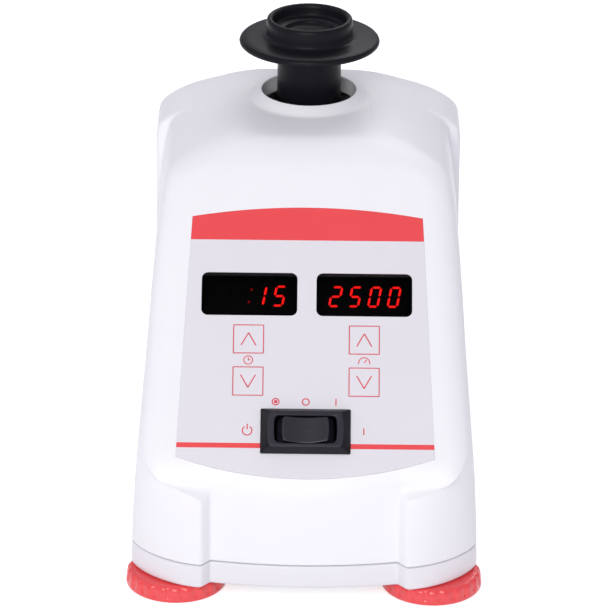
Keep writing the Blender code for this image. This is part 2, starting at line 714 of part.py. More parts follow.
def make_feet():
    """Rubber suction cups with a stem that snaps through the tray's floor."""
    top = TRAY_BOTTOM - GAP
    floor_top = TRAY_BOTTOM + WALL + GAP
    stem = FOOT_STEM_RADIUS
    barb = stem + FOOT_BARB
    tip = floor_top + FOOT_BARB_HEIGHT
    profile = [(0, tip), (stem - FOOT_BARB, tip), (barb, floor_top + FOOT_BARB_HEIGHT / 4),
               (barb, floor_top), (stem, floor_top), (stem, top), (FOOT_RADIUS - FOOT_LIP * 0.9, top),
               (FOOT_RADIUS - FOOT_LIP * 0.3, top - FOOT_SHOULDER * 0.35), (FOOT_RADIUS, top - FOOT_SHOULDER),
               (FOOT_RADIUS - FOOT_LIP * 0.15, 0), (FOOT_RADIUS - FOOT_LIP, 0),
               (FOOT_RADIUS * 0.6, FOOT_CUP * 0.7), (0, FOOT_CUP)]
    for x, y, word in foot_places():
        turned("suction_foot_" + word, profile, "red_rubber", (x, y), steps=28)


def make_housing_screws():
    for x, y, word in boss_places():
        seat = TRAY_BOTTOM + SCREW_HEAD_HEIGHT
        make_screw("housing_screw_" + word, (x, y, seat), (0, 0, 0), HOUSING_SCREW_LENGTH)


def make_screw(name, seat, turn, length, parent=None):
    """A pan-head screw whose shank runs up from the seat and whose head hangs below it."""
    tip = SCREW_RADIUS * 0.6
    profile = [(0, length), (tip, length), (SCREW_RADIUS, length - tip), (SCREW_RADIUS, 0),
               (SCREW_HEAD_RADIUS, 0), (SCREW_HEAD_RADIUS, -SCREW_HEAD_HEIGHT * 0.6),
               (SCREW_HEAD_RADIUS * 0.7, -SCREW_HEAD_HEIGHT), (0, -SCREW_HEAD_HEIGHT)]
    screw = turned(name, profile, "bright_steel", steps=12, parent=parent)
    screw.location = seat
    screw.rotation_euler = turn
    slot = SCREW_HEAD_HEIGHT * 0.4
    cutter = box(name + "_slot", (2 * SCREW_HEAD_RADIUS * 1.1, SCREW_RADIUS * 0.4, 2 * slot),
                 (0, 0, -SCREW_HEAD_HEIGHT), parent=screw)
    cut(screw, cutter)


def make_panel():
    """The printed film and everything that shows through it."""
    film = slab("panel_film", film_outline(), -FILM, 0, "printed_film", parent=panel)
    for side, word in ((-1, "time"), (1, "speed")):
        place_at = (side * WINDOW_U, WINDOW_V, 0)
        window = rounded_outline(WINDOW_WIDTH / 2, WINDOW_HEIGHT / 2, WINDOW_ROUND)
        hole = rounded_outline(WINDOW_WIDTH / 2 + GAP, WINDOW_HEIGHT / 2 + GAP, WINDOW_ROUND + GAP)
        cut(film, slab(f"film_window_{side}", hole, -WALL, WALL, parent=panel, at=place_at))
        slab(word + "_window", window, -WINDOW_THICKNESS, 0, "smoked_acrylic", parent=panel, at=place_at)
        front = -WINDOW_THICKNESS - GAP
        back = -BOARD_DEPTH + GAP
        size = (WINDOW_WIDTH - 2 * DISPLAY_MARGIN, WINDOW_HEIGHT - 2 * DISPLAY_MARGIN, front - back)
        box(word + "_display", size, (side * WINDOW_U, WINDOW_V, (front + back) / 2), "red_display",
            parent=panel)
    for word, u, v in key_places():
        size = KEY_SIZE + 2 * GAP
        cut(film, box("film_key_" + word, (size, size, 2 * WALL), (u, v, 0), parent=panel))
        make_key(word, u, v)
    hole = (SWITCH_WIDTH - 2 * SWITCH_LEDGE + 2 * GAP, SWITCH_HEIGHT - 2 * SWITCH_LEDGE + 2 * GAP, 2 * WALL)
    cut(film, box("film_switch", hole, (0, SWITCH_V, 0), parent=panel))
    board = box("control_board", (BOARD_WIDTH, BOARD_TOP_V - BOARD_BOTTOM_V, BOARD_THICKNESS),
                (0, (BOARD_TOP_V + BOARD_BOTTOM_V) / 2, -BOARD_DEPTH - BOARD_THICKNESS / 2),
                "green_laminate", parent=panel)
    for index, (u, v) in enumerate(post_places()):
        cut(board, cylinder(f"board_hole_{index}", SCREW_RADIUS + GAP, -2 * BOARD_DEPTH, 0, at=(u, v),
                            parent=panel, sides=16))


def make_key(word, u, v):
    """A flexing zone of the film with the stem it presses, and the tact switch on the board."""
    holder = empty("key_axis_" + word, (u, v, 0), parent=panel)
    key = box("key_" + word, (KEY_SIZE, KEY_SIZE, FILM), (0, 0, -FILM / 2), "printed_film", parent=holder)
    tact_top = -BOARD_DEPTH + GAP + TACT_HEIGHT
    stem_end = tact_top - TACT_WELL / 2
    join(key, cylinder("key_stem_" + word, KEY_STEM, stem_end, -FILM / 2, parent=holder, sides=20))
    tact = box("tact_switch_" + word, (TACT_SIZE, TACT_SIZE, TACT_HEIGHT),
               (u, v, tact_top - TACT_HEIGHT / 2), "black_nylon", parent=panel)
    cut(tact, cylinder("tact_well_" + word, KEY_STEM + GAP, tact_top - TACT_WELL, tact_top + WALL,
                       at=(u, v), parent=panel, sides=20))


def make_switch():
    """The three-position rocker and the frame it snaps into."""
    body_depth = SWITCH_DEPTH + 2 * GAP
    body_size = (SWITCH_WIDTH - 2 * SWITCH_LEDGE, SWITCH_HEIGHT - 2 * SWITCH_LEDGE, body_depth)
    frame = switch_frustum("switch_frame", "black_nylon")
    join(frame, box("switch_body", body_size, (0, SWITCH_V, 2 * GAP - body_depth / 2), parent=panel))
    mouth = SWITCH_DEPTH - WALL
    cut(frame, box("switch_mouth", (SWITCH_MOUTH_WIDTH, SWITCH_MOUTH_HEIGHT, mouth + 2 * SWITCH_RISE),
                   (0, SWITCH_V, -mouth / 2 + SWITCH_RISE), parent=panel))
    trunnion_turn = (math.pi / 2, 0, 0)
    reach = SWITCH_MOUTH_HEIGHT / 2 + TRUNNION_REACH
    sleeve = cylinder("trunnion_hole", TRUNNION_RADIUS + GAP, -reach - GAP, reach + GAP, parent=panel,
                      sides=20, turn=trunnion_turn)
    sleeve.location = (0, SWITCH_V, -ROCKER_PIVOT)
    cut(frame, sleeve)
    pivot = empty("rocker_axis", (0, SWITCH_V, -ROCKER_PIVOT), parent=panel)
    half = ROCKER_LENGTH / 2
    end = half - ROCKER_END_RUN
    crest = ROCKER_PIVOT + ROCKER_RISE
    right = [(end, -ROCKER_KEEL), (half, ROCKER_PIVOT), (end, crest), (ROCKER_MIDDLE, crest - ROCKER_DISH)]
    outline = right + [(-x, y) for x, y in reversed(right)]
    rocker = slab("rocker", outline, -ROCKER_WIDTH / 2, ROCKER_WIDTH / 2, "black_nylon", parent=pivot,
                  turn=trunnion_turn)
    join(rocker, cylinder("trunnion", TRUNNION_RADIUS, -reach, reach, parent=pivot, sides=20,
                          turn=trunnion_turn))


def make_head():
    """The rubber cup, its carrier and bearing, which circle on the eccentric pin without turning."""
    lip = CUP_LIP
    dish = CUP_TOP - CUP_DEPTH
    ledge = CUP_TOP - CUP_WALL
    flange_low = FLANGE_TOP - FLANGE_THICKNESS
    edge = FLANGE_RADIUS - FLANGE_ROUND
    mouth = [(0, dish - lip), (CUP_STEP * 0.6, dish), (CUP_STEP, ledge - lip), (CUP_MOUTH - lip, ledge),
             (CUP_MOUTH, CUP_TOP - lip), (CUP_MOUTH + lip, CUP_TOP)]
    collar = [(CUP_RADIUS - lip, CUP_TOP), (CUP_RADIUS, CUP_TOP - lip),
              (CUP_RADIUS, FLANGE_TOP + FLANGE_ROUND), (CUP_RADIUS + FLANGE_ROUND, FLANGE_TOP)]
    flange = [(edge, FLANGE_TOP - FLANGE_ROUND / 7), (FLANGE_RADIUS, FLANGE_TOP - FLANGE_THICKNESS / 2),
              (edge, flange_low + FLANGE_ROUND / 7)]
    neck = [(NECK_RADIUS + FLANGE_FILLET, flange_low - FLANGE_ROUND / 2),
            (NECK_RADIUS + FLANGE_FILLET / 4, flange_low - FLANGE_FILLET),
            (NECK_RADIUS, flange_low - NECK_FADE), (NECK_RADIUS, NECK_BOTTOM)]
    socket = [(POST_RADIUS + GAP, NECK_BOTTOM), (POST_RADIUS + GAP, POST_TOP + GAP), (0, POST_TOP + GAP)]
    cup = mouth + collar + flange + neck + socket
    turned("cup_head", cup, "black_rubber", parent=orbit, steps=36)
    shoulder = NECK_BOTTOM - GAP
    pocket_top = CARRIER_BOTTOM + HEAD_BEARING_HEIGHT + GAP
    carrier = [(0, POST_TOP), (POST_RADIUS, POST_TOP), (POST_RADIUS, shoulder), (CARRIER_RADIUS, shoulder),
               (CARRIER_RADIUS, CARRIER_BOTTOM), (HEAD_BEARING_RADIUS + GAP, CARRIER_BOTTOM),
               (HEAD_BEARING_RADIUS + GAP, pocket_top), (PIN_RADIUS + 2 * GAP, pocket_top),
               (PIN_RADIUS + 2 * GAP, PIN_TOP + GAP), (0, PIN_TOP + GAP)]
    turned("head_carrier", carrier, "black_nylon", parent=orbit, steps=28)
    ring("head_bearing", PIN_RADIUS + RUNNING_GAP, HEAD_BEARING_RADIUS, CARRIER_BOTTOM,
         CARRIER_BOTTOM + HEAD_BEARING_HEIGHT, "bright_steel", orbit)


def ring(name, inner, outer, low, high, finish=None, parent=None, steps=28):
    profile = [(outer, high), (outer, low), (inner, low), (inner, high)]
    return turned(name, profile, finish, parent=parent, steps=steps)


def make_eccentric():
    """The hub on the shaft, with the offset pin behind its axis and the counterweight in front."""
    shoulder_top = CARRIER_BOTTOM - GAP
    hub = cylinder("eccentric_hub", HUB_RADIUS, HUB_BOTTOM, HUB_TOP, "cast_zinc", parent=drive, sides=36)
    weight = [(-WEIGHT_ROOT_X, -WEIGHT_ROOT_Y)]
    for angle in np.linspace(math.radians(200), math.radians(340), 13):
        weight.append((WEIGHT_OUTER * math.cos(angle), WEIGHT_OUTER * math.sin(angle)))
    weight.append((WEIGHT_ROOT_X, -WEIGHT_ROOT_Y))
    join(hub, slab("counterweight", weight, HUB_BOTTOM + WEIGHT_BELOW, HUB_TOP - WEIGHT_ABOVE, parent=drive))
    join(hub, cylinder("pin_shoulder", PIN_RADIUS + PIN_SHOULDER, HUB_TOP - WALL, shoulder_top, parent=orbit,
                       sides=28))
    join(hub, cylinder("offset_pin", PIN_RADIUS, HUB_TOP - WALL, PIN_TOP, parent=orbit, sides=28))
    cut(hub, cylinder("hub_bore", SHAFT_RADIUS + GAP, HUB_BOTTOM - WALL, SHAFT_TOP + GAP, parent=drive,
                      sides=24))


def make_motor():
    """Shaft, rotor, stator, end bells and bearings, stacked on the motor plate."""
    bell_low = MOTOR_BOTTOM
    bell_high = bell_low + BELL_HEIGHT
    stator_low = bell_high + GAP
    stator_high = stator_low + STATOR_HEIGHT
    upper_low = stator_high + GAP
    upper_high = upper_low + BELL_HEIGHT
    cylinder("motor_shaft", SHAFT_RADIUS, SHAFT_BOTTOM, SHAFT_TOP, "bright_steel", parent=drive, sides=24)
    rotor_low = (stator_low + stator_high - ROTOR_HEIGHT) / 2
    ring("rotor", SHAFT_RADIUS + GAP, ROTOR_RADIUS, rotor_low, rotor_low + ROTOR_HEIGHT, "motor_steel", drive)
    stator = ring("stator", STATOR_BORE, MOTOR_RADIUS, stator_low, stator_high, "motor_steel", drive, steps=32)
    for index in range(STATOR_SLOTS):
        angle = 2 * math.pi * index / STATOR_SLOTS
        middle = STATOR_BORE + WALL / 2
        centre = (middle * math.cos(angle), middle * math.sin(angle), stator_low + STATOR_HEIGHT / 2)
        slot = box(f"stator_slot_{index}", (STATOR_SLOT_LENGTH, STATOR_SLOT_WIDTH, STATOR_HEIGHT * 2),
                   centre, parent=drive, turn=(0, 0, angle))
        cut(stator, slot)
    floor = BELL_WALL
    seat = floor - GAP
    lip_radius = PLUNGER_STEM_RADIUS * 1.5
    hub_height = seat + BEARING_HEIGHT + 2 * GAP
    bell = [(MOTOR_RADIUS, BELL_HEIGHT), (MOTOR_RADIUS, 0), (lip_radius, 0), (lip_radius, seat),
            (BEARING_RADIUS + GAP, seat), (BEARING_RADIUS + GAP, hub_height),
            (BEARING_RADIUS + BELL_WALL, hub_height), (BEARING_RADIUS + BELL_WALL, floor),
            (MOTOR_RADIUS - BELL_WALL, floor), (MOTOR_RADIUS - BELL_WALL, BELL_HEIGHT)]
    turned("motor_lower_bell", [(r, bell_low + z) for r, z in bell], "motor_steel", parent=drive, steps=32)
    flipped = [(r, upper_high - z) for r, z in reversed(bell)]
    turned("motor_upper_bell", flipped, "motor_steel", parent=drive, steps=32)
    bearing_low = bell_low + seat + GAP
    ring("lower_bearing", SHAFT_RADIUS + RUNNING_GAP, BEARING_RADIUS, bearing_low,
         bearing_low + BEARING_HEIGHT, "bright_steel", drive)
    bearing_high = upper_high - seat - GAP
    ring("upper_bearing", SHAFT_RADIUS + RUNNING_GAP, BEARING_RADIUS, bearing_high - BEARING_HEIGHT,
         bearing_high, "bright_steel", drive)


def make_mount():
    """Ballast plate, four rubber isolators and the plate that carries the motor."""
    middle_y = (BALLAST_FRONT_Y + BALLAST_REAR_Y) / 2
    low = TRAY_BOTTOM + WALL + GAP
    ballast = box("ballast_plate", (BALLAST_WIDTH, BALLAST_REAR_Y - BALLAST_FRONT_Y, BALLAST_TOP - low),
                  (0, middle_y, (low + BALLAST_TOP) / 2), "cast_zinc")
    for x, y, word in standoff_places():
        join(ballast, cylinder("standoff_" + word, STANDOFF_RADIUS, BALLAST_TOP - WALL,
                               BALLAST_TOP + STANDOFF_HEIGHT, at=(x, y), sides=16))
        join(ballast, cylinder("standoff_peg_" + word, SCREW_RADIUS, BALLAST_TOP,
                               BOARD_LOW + BOARD_THICKNESS + GAP, at=(x, y), sides=12))
    plate = box("motor_plate", (PLATE_SIZE, PLATE_SIZE, PLATE_THICKNESS),
                (0, 0, PLATE_BOTTOM + PLATE_THICKNESS / 2), "bright_steel", parent=drive)
    cut(plate, cylinder("plate_bore", PLUNGER_STEM_RADIUS + GAP, 0, 2 * PLATE_BOTTOM, parent=drive, sides=32))
    bottom = BALLAST_TOP + GAP
    top = bottom + ISOLATOR_HEIGHT
    stud_end = BALLAST_TOP - ISOLATOR_STUD
    thread_end = top - ISOLATOR_THREAD
    for side_y, end in ((-1, "front"), (1, "rear")):
        for side_x, word in ((-1, "left"), (1, "right")):
            spot = (side_x * ISOLATOR_SPREAD, side_y * ISOLATOR_SPREAD)
            name = f"{end}_{word}"
            thread = [(0, thread_end), (SCREW_RADIUS + GAP, thread_end), (SCREW_RADIUS + GAP, top)]
            rubber = [(ISOLATOR_RADIUS, top), (ISOLATOR_RADIUS * ISOLATOR_WAIST, (top + bottom) / 2),
                      (ISOLATOR_RADIUS, bottom)]
            stud = [(SCREW_RADIUS, bottom), (SCREW_RADIUS, stud_end), (0, stud_end)]
            turned("isolator_" + name, thread + rubber + stud, "black_rubber", spot, parent=drive, steps=16)
            cut(ballast, cylinder("stud_hole_" + name, SCREW_RADIUS + GAP, stud_end - GAP,
                                  BALLAST_TOP + WALL / 2, at=spot, parent=drive, sides=16))
            cut(plate, cylinder("plate_hole_" + name, SCREW_RADIUS + GAP, 0, 2 * PLATE_BOTTOM, at=spot,
                                parent=drive, sides=16))
            seat = PLATE_BOTTOM + PLATE_THICKNESS + GAP
            make_screw("isolator_screw_" + name, (*spot, seat), (math.pi, 0, 0), ISOLATOR_SCREW_LENGTH,
                       parent=drive)


def make_touch():
    """The spring-loaded thrust plunger under the shaft and the microswitch that it presses."""
    top = PLATE_BOTTOM - GAP
    flange_low = top - PLUNGER_FLANGE
    stem_top = PLATE_BOTTOM + PLATE_THICKNESS + PLUNGER_STAND
    bore = SHAFT_RADIUS + RUNNING_GAP
    socket = SHAFT_BOTTOM - GAP
    pilot_radius = SPRING_RADIUS - SPRING_WIRE - GAP
    plunger = [(0, socket), (bore, socket), (bore, stem_top), (PLUNGER_STEM_RADIUS, stem_top),
               (PLUNGER_STEM_RADIUS, top), (PLUNGER_FLANGE_RADIUS, top), (PLUNGER_FLANGE_RADIUS, flange_low),
               (pilot_radius, flange_low), (pilot_radius, flange_low - PLUNGER_PILOT),
               (0, flange_low - PLUNGER_PILOT)]
    turned("thrust_plunger", plunger, "black_nylon", parent=drive, steps=24)
    spring_low = BALLAST_TOP + GAP
    make_spring("return_spring", spring_low, flange_low - GAP)
    body_top = spring_low + MICROSWITCH_HEIGHT
    switch = box("microswitch", (MICROSWITCH_WIDTH, MICROSWITCH_LENGTH, MICROSWITCH_HEIGHT),
                 (MICROSWITCH_X, 0, body_top - MICROSWITCH_HEIGHT / 2), "black_nylon", parent=drive)
    well_low = body_top - TOUCH_TRAVEL - MICROSWITCH_WELL
    cut(switch, cylinder("microswitch_well", MICROSWITCH_BUTTON + GAP, well_low, body_top + WALL,
                         at=(MICROSWITCH_X, 0), parent=drive, sides=20))
    cylinder("microswitch_button", MICROSWITCH_BUTTON, well_low + TOUCH_TRAVEL + GAP, flange_low - GAP,
             "red_display", at=(MICROSWITCH_X, 0), parent=drive, sides=20)


def make_spring(name, low, high):
    """A helical wire between two heights about the drive axis."""
    curve = bpy.data.curves.new(name, "CURVE")
    curve.dimensions = "3D"
    curve.bevel_depth = SPRING_WIRE / 2
    curve.bevel_resolution = 0
    curve.use_fill_caps = True
    line = curve.splines.new("POLY")
    count = SPRING_TURNS * 10
    line.points.add(count)
    rise = high - low - SPRING_WIRE
    for index, point in enumerate(line.points):
        angle = 2 * math.pi * SPRING_TURNS * index / count
        height = low + SPRING_WIRE / 2 + rise * index / count
        point.co = (SPRING_RADIUS * math.cos(angle), SPRING_RADIUS * math.sin(angle), height, 1)
    spring = bpy.data.objects.new(name, curve)
    curve.materials.append(bpy.data.materials["bright_steel"])
    spring.parent = drive
    model.objects.link(spring)


def keyed_outline(half_wide, half_high):
    """A rectangle with its two upper corners cut off."""
    left = [(-half_wide + INLET_CORNER, half_high), (-half_wide, half_high - INLET_CORNER),
            (-half_wide, -half_high)]
    return left + [(-x, y) for x, y in reversed(left)]


def make_inlet():
    """The mains inlet: a flanged body with three pins, held by two screws."""
    turn = (math.pi / 2, 0, 0)
    seat = INLET_FACE_Y + GAP
    flange = rounded_outline(INLET_FLANGE_WIDTH / 2, INLET_FLANGE_HEIGHT / 2, INLET_CORNER)
    body = keyed_outline(INLET_WIDTH / 2, INLET_HEIGHT / 2)
    socket = keyed_outline(SOCKET_WIDTH / 2, SOCKET_HEIGHT / 2)
    at = (0, seat, INLET_Z)
    inlet = slab("mains_inlet", flange, -INLET_FLANGE, 0, "black_nylon", turn=turn, at=at)
    join(inlet, slab("inlet_body", body, -INLET_FLANGE / 2, INLET_DEPTH, turn=turn, at=at))
    cut(inlet, slab("inlet_socket", socket, -2 * INLET_FLANGE, SOCKET_DEPTH - INLET_FLANGE, turn=turn, at=at))
    pin_end = SOCKET_DEPTH - INLET_FLANGE + PIN_ROOT
    for word, x, z in (("live", -PIN_SPREAD, -PIN_DROP / 2), ("neutral", PIN_SPREAD, -PIN_DROP / 2),
                       ("earth", 0, PIN_DROP)):
        low = seat - pin_end
        high = seat - PIN_SETBACK
        centre = (x, (low + high) / 2, INLET_Z + z)
        slot = (PIN_WIDTH + 2 * GAP, high - low + 2 * GAP, PIN_HEIGHT + 2 * GAP)
        cut(inlet, box("slot_" + word, slot, centre))
        box("inlet_pin_" + word, (PIN_WIDTH, high - low, PIN_HEIGHT), centre, "nickel_brass",
            rounding=PIN_ROUND)
    for side, word in ((-1, "left"), (1, "right")):
        x = side * INLET_SCREW_SPREAD
        hole = cylinder("flange_hole_" + word, SCREW_RADIUS + GAP, -2 * WALL, 2 * WALL, sides=16, turn=turn)
        hole.location = (x, seat, INLET_Z)
        cut(inlet, hole)
        screw_at = (x, seat + INLET_FLANGE + GAP, INLET_Z)
        make_screw("inlet_screw_" + word, screw_at, turn, INLET_FLANGE + 2 * WALL)


def standoff_places():
    for side_y in (-1, 1):
        for side_x in (-1, 1):
            x = side_x * (POWER_BOARD_WIDTH / 2 - STANDOFF_RADIUS - 2 * GAP)
            y = POWER_BOARD_Y + side_y * (POWER_BOARD_LENGTH / 2 - STANDOFF_RADIUS)
            yield x, y, f"{side_x}_{side_y}"


def make_power():
    """The supply board on the ballast's standoffs, with its transformer."""
    board = box("power_board", (POWER_BOARD_WIDTH, POWER_BOARD_LENGTH, BOARD_THICKNESS),
                (0, POWER_BOARD_Y, BOARD_LOW + BOARD_THICKNESS / 2), "green_laminate")
    for x, y, word in standoff_places():
        cut(board, cylinder("power_hole_" + word, SCREW_RADIUS + GAP, 0, 2 * BOARD_LOW, at=(x, y), sides=16))
    low = BOARD_LOW + BOARD_THICKNESS + GAP
    box("transformer", (TRANSFORMER_WIDTH, TRANSFORMER_LENGTH, TRANSFORMER_HEIGHT),
        (TRANSFORMER_X, POWER_BOARD_Y, low + TRANSFORMER_HEIGHT / 2), "motor_steel",
        rounding=TRANSFORMER_ROUND)


make_housing()
make_tray()
make_feet()
make_housing_screws()
make_panel()
make_switch()
make_head()
make_eccentric()
make_motor()
make_mount()
make_touch()
make_inlet()
make_power()
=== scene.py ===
# %% [markdown]
# # A vortex mixer
# A vortex mixer shakes a test tube in a fast small circle. This script dresses a working model of
# one. The model's solids, joints and sizes are loaded first and stay as they are. Each visible solid
# then gets either a finer mesh that stands for it, or a new finish.

import json
import math

import bmesh
import bpy
import numpy as np
from mathutils import Matrix, Vector

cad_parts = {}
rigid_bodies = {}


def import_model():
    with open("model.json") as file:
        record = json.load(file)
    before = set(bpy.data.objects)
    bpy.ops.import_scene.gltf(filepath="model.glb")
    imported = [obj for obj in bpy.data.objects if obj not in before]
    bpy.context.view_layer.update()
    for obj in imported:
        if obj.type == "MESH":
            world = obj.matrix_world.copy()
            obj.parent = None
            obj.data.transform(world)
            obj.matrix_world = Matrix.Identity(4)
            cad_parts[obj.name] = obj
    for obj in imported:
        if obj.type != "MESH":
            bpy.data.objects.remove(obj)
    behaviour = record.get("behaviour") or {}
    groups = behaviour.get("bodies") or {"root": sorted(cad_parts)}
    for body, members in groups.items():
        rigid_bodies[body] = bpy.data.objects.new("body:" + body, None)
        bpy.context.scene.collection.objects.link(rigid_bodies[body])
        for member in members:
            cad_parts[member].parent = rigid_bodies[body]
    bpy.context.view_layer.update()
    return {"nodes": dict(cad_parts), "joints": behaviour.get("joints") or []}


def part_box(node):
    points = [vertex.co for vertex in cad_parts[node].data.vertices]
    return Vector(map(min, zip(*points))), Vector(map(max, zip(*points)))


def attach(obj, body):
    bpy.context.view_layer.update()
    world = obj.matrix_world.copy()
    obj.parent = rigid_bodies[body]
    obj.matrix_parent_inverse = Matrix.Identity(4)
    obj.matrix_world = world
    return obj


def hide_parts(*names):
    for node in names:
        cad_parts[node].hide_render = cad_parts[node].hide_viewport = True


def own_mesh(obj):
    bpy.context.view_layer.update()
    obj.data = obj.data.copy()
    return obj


for stale in list(bpy.data.objects):
    bpy.data.objects.remove(stale, do_unlink=True)

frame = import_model()
MM = 0.001

# %% [markdown]
# ## Helpers for colours, materials and pieces
# Colours are written as the hex values that a paint chart gives, and a shader works with linear
# light, so one function turns the first into the second. Another adds one shader node with its
# settings and links. The others clean a mesh, put it in the scene, and turn it into a finished
# piece that rides on a body.

# %% Colours and nodes


def colour(hex_code):
    """An sRGB hex value as linear light."""
    channels = [int(hex_code[i:i + 2], 16) / 255 for i in (1, 3, 5)]
    linear = [c / 12.92 if c <= 0.04045 else ((c + 0.055) / 1.055) ** 2.4 for c in channels]
    return (*linear, 1.0)


def add(tree, kind, links=None, **settings):
    """Adds a shader node; links maps an input's name or number to a value or to another node's output."""
    made = tree.nodes.new(kind)
    for name, value in settings.items():
        setattr(made, name, value)
    for socket, value in (links or {}).items():
        if isinstance(value, bpy.types.NodeSocket):
            tree.links.new(value, made.inputs[socket])
        else:
            made.inputs[socket].default_value = value
    return made


print("the middle grey of a screen is", round(colour("#808080")[0], 3), "in linear light")

# %% Materials
# A Mix node has sockets of its own for numbers, vectors and colours. These are its colour sockets.
COLOUR_A, COLOUR_B, COLOUR_OUT = 6, 7, 2
# Noise seldom leaves this span, so the span is stretched over all of a finish's range.
NOISE_SPAN = (0.3, 0.7)


def material(name, **sockets):
    """A material whose shader has plain values on its own sockets, written with _ for a space."""
    made = bpy.data.materials.new(name)
    made.use_nodes = True
    shader = made.node_tree.nodes["Principled BSDF"]
    for socket, value in sockets.items():
        shader.inputs[socket.replace("_", " ")].default_value = value
    return made


def patterned(made, tone_from, polish_from, dark, light, polish, span=(0, 1), height_mm=0):
    """Lets one pattern drive a material's colour, and another its roughness and relief."""
    tree = made.node_tree
    shader = tree.nodes["Principled BSDF"]
    tone = add(tree, "ShaderNodeMix", {"Factor": tone_from, COLOUR_A: colour(dark), COLOUR_B: colour(light)},
               data_type="RGBA")
    tree.links.new(tone.outputs[COLOUR_OUT], shader.inputs["Base Color"])
    rough = add(tree, "ShaderNodeMapRange", {"Value": polish_from, "From Min": span[0], "From Max": span[1],
                                             "To Min": polish[0], "To Max": polish[1]})
    tree.links.new(rough.outputs["Result"], shader.inputs["Roughness"])
    if height_mm:
        relief = add(tree, "ShaderNodeBump", {"Height": polish_from, "Distance": height_mm * MM})
        tree.links.new(relief.outputs["Normal"], shader.inputs["Normal"])
    print(made.name, "runs from", dark, "to", light)
    return made


def grained(made, dark, light, speck_mm, tone_mm, height_mm, spread=0.04):
    """Gives a material a fine moulded grain and a slow drift of tone, both set in millimetres."""
    tree = made.node_tree
    at = add(tree, "ShaderNodeTexCoord").outputs["Object"]
    drift = add(tree, "ShaderNodeTexNoise", {"Vector": at, "Scale": 1 / (tone_mm * MM), "Detail": 3.0})
    specks = add(tree, "ShaderNodeTexNoise", {"Vector": at, "Scale": 1 / (speck_mm * MM), "Detail": 2.0})
    plain = tree.nodes["Principled BSDF"].inputs["Roughness"].default_value
    return patterned(made, drift.outputs["Fac"], specks.outputs["Fac"], dark, light,
                     (plain - spread, plain + spread), NOISE_SPAN, height_mm)


# %% Meshes and pieces
SAME_PLACE = 0.002 * MM


def cleaned(shape):
    """Merges points that lie in the same place and turns every face outwards."""
    bmesh.ops.remove_doubles(shape, verts=shape.verts, dist=SAME_PLACE)
    bmesh.ops.recalc_face_normals(shape, faces=shape.faces)
    return shape


def as_mesh(shape, name):
    """Turns a bmesh into a mesh and frees it."""
    mesh = bpy.data.meshes.new(name)
    shape.to_mesh(mesh)
    shape.free()
    return mesh


def placed(name, data):
    """An object in the scene that holds a mesh, a lamp or a camera."""
    made = bpy.data.objects.new(name, data)
    bpy.context.scene.collection.objects.link(made)
    return made


def piece(shape, name, finishes, body, stands_for=(), sharp=35, tidy=True):
    """Turns a bmesh into an object that rides on a body, smooth except at its sharp edges."""
    mesh = as_mesh(cleaned(shape) if tidy else shape, name)
    for finish in finishes:
        mesh.materials.append(finish)
    mesh.shade_smooth()
    mesh.set_sharp_from_angle(angle=math.radians(sharp))
    made = placed(name, mesh)
    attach(made, body)
    if stands_for:
        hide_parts(*stands_for)
    print(name, "has", len(mesh.polygons), "faces")
    return made


# %% Shapes and places


def spun(profile, centre, steps=96):
    """Spins a profile of (radius, height) points, in millimetres, round an upright axis."""
    shape = bmesh.new()
    points = [shape.verts.new((centre.x + radius * MM, centre.y, height * MM)) for radius, height in profile]
    edges = [shape.edges.new(pair) for pair in zip(points, points[1:])]
    bmesh.ops.spin(shape, geom=points + edges, cent=centre, axis=(0, 0, 1), angle=2 * math.pi,
                   steps=steps, use_merge=True)
    return cleaned(shape)


def softened(shape, edges, radius_mm, segments=3):
    """Rounds edges over, as a moulding tool or a deburring wheel leaves them."""
    bmesh.ops.bevel(shape, geom=list(edges), offset=radius_mm * MM, offset_type="OFFSET", affect="EDGES",
                    segments=segments, profile=0.5, material=-1, clamp_overlap=True)


def middle(node):
    """The middle of a solid's box."""
    low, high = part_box(node)
    return (low + high) / 2


def named(*starts):
    """The working model's solids whose names start as given, in order."""
    return [node for node in sorted(frame["nodes"]) if node.startswith(starts)]


print("the head's axis is", round(middle("motor_shaft").y / MM, 2), "mm behind the middle of the bench")

# %% [markdown]
# ## Camera
# The camera stands well back with a long lens, a little above the mixer, as for a catalogue picture.
# A long lens keeps the upright edges nearly parallel. The camera's place is given as a distance in
# front of the bench's origin and a height over it, and it is rolled by about half a degree.

# %% Camera
CAMERA_AT = Vector((-0.0008, -1.1833, 0.5820))
CAMERA_DIP = math.radians(23.91)
CAMERA_ROLL = math.radians(0.62)
LENS_LENGTH_MM = 260.5
SENSOR_WIDTH_MM = 36.0
optics = bpy.data.cameras.new("camera")
optics.lens = LENS_LENGTH_MM
optics.sensor_width = SENSOR_WIDTH_MM
camera = placed("camera", optics)
camera.matrix_world = (Matrix.Translation(CAMERA_AT) @ Matrix.Rotation(math.pi / 2 - CAMERA_DIP, 4, "X")
                       @ Matrix.Rotation(CAMERA_ROLL, 4, "Z"))
bpy.context.scene.camera = camera
print("the camera is", round(CAMERA_AT.length, 2), "m away")

# %% [markdown]
# ## Floor and light
# White goods need light that is soft and even, yet not flat, or their edges vanish. A large lamp in
# front and above gives the forms their shading, one behind lights the back, two weak ones fill the
# sides, and the sky gives the rest. The floor is white to the camera, but still takes the mixer's
# shadow.

# %% Floor
FLOOR_SIZE = 4.0
FLOOR_GLOW = 0.56


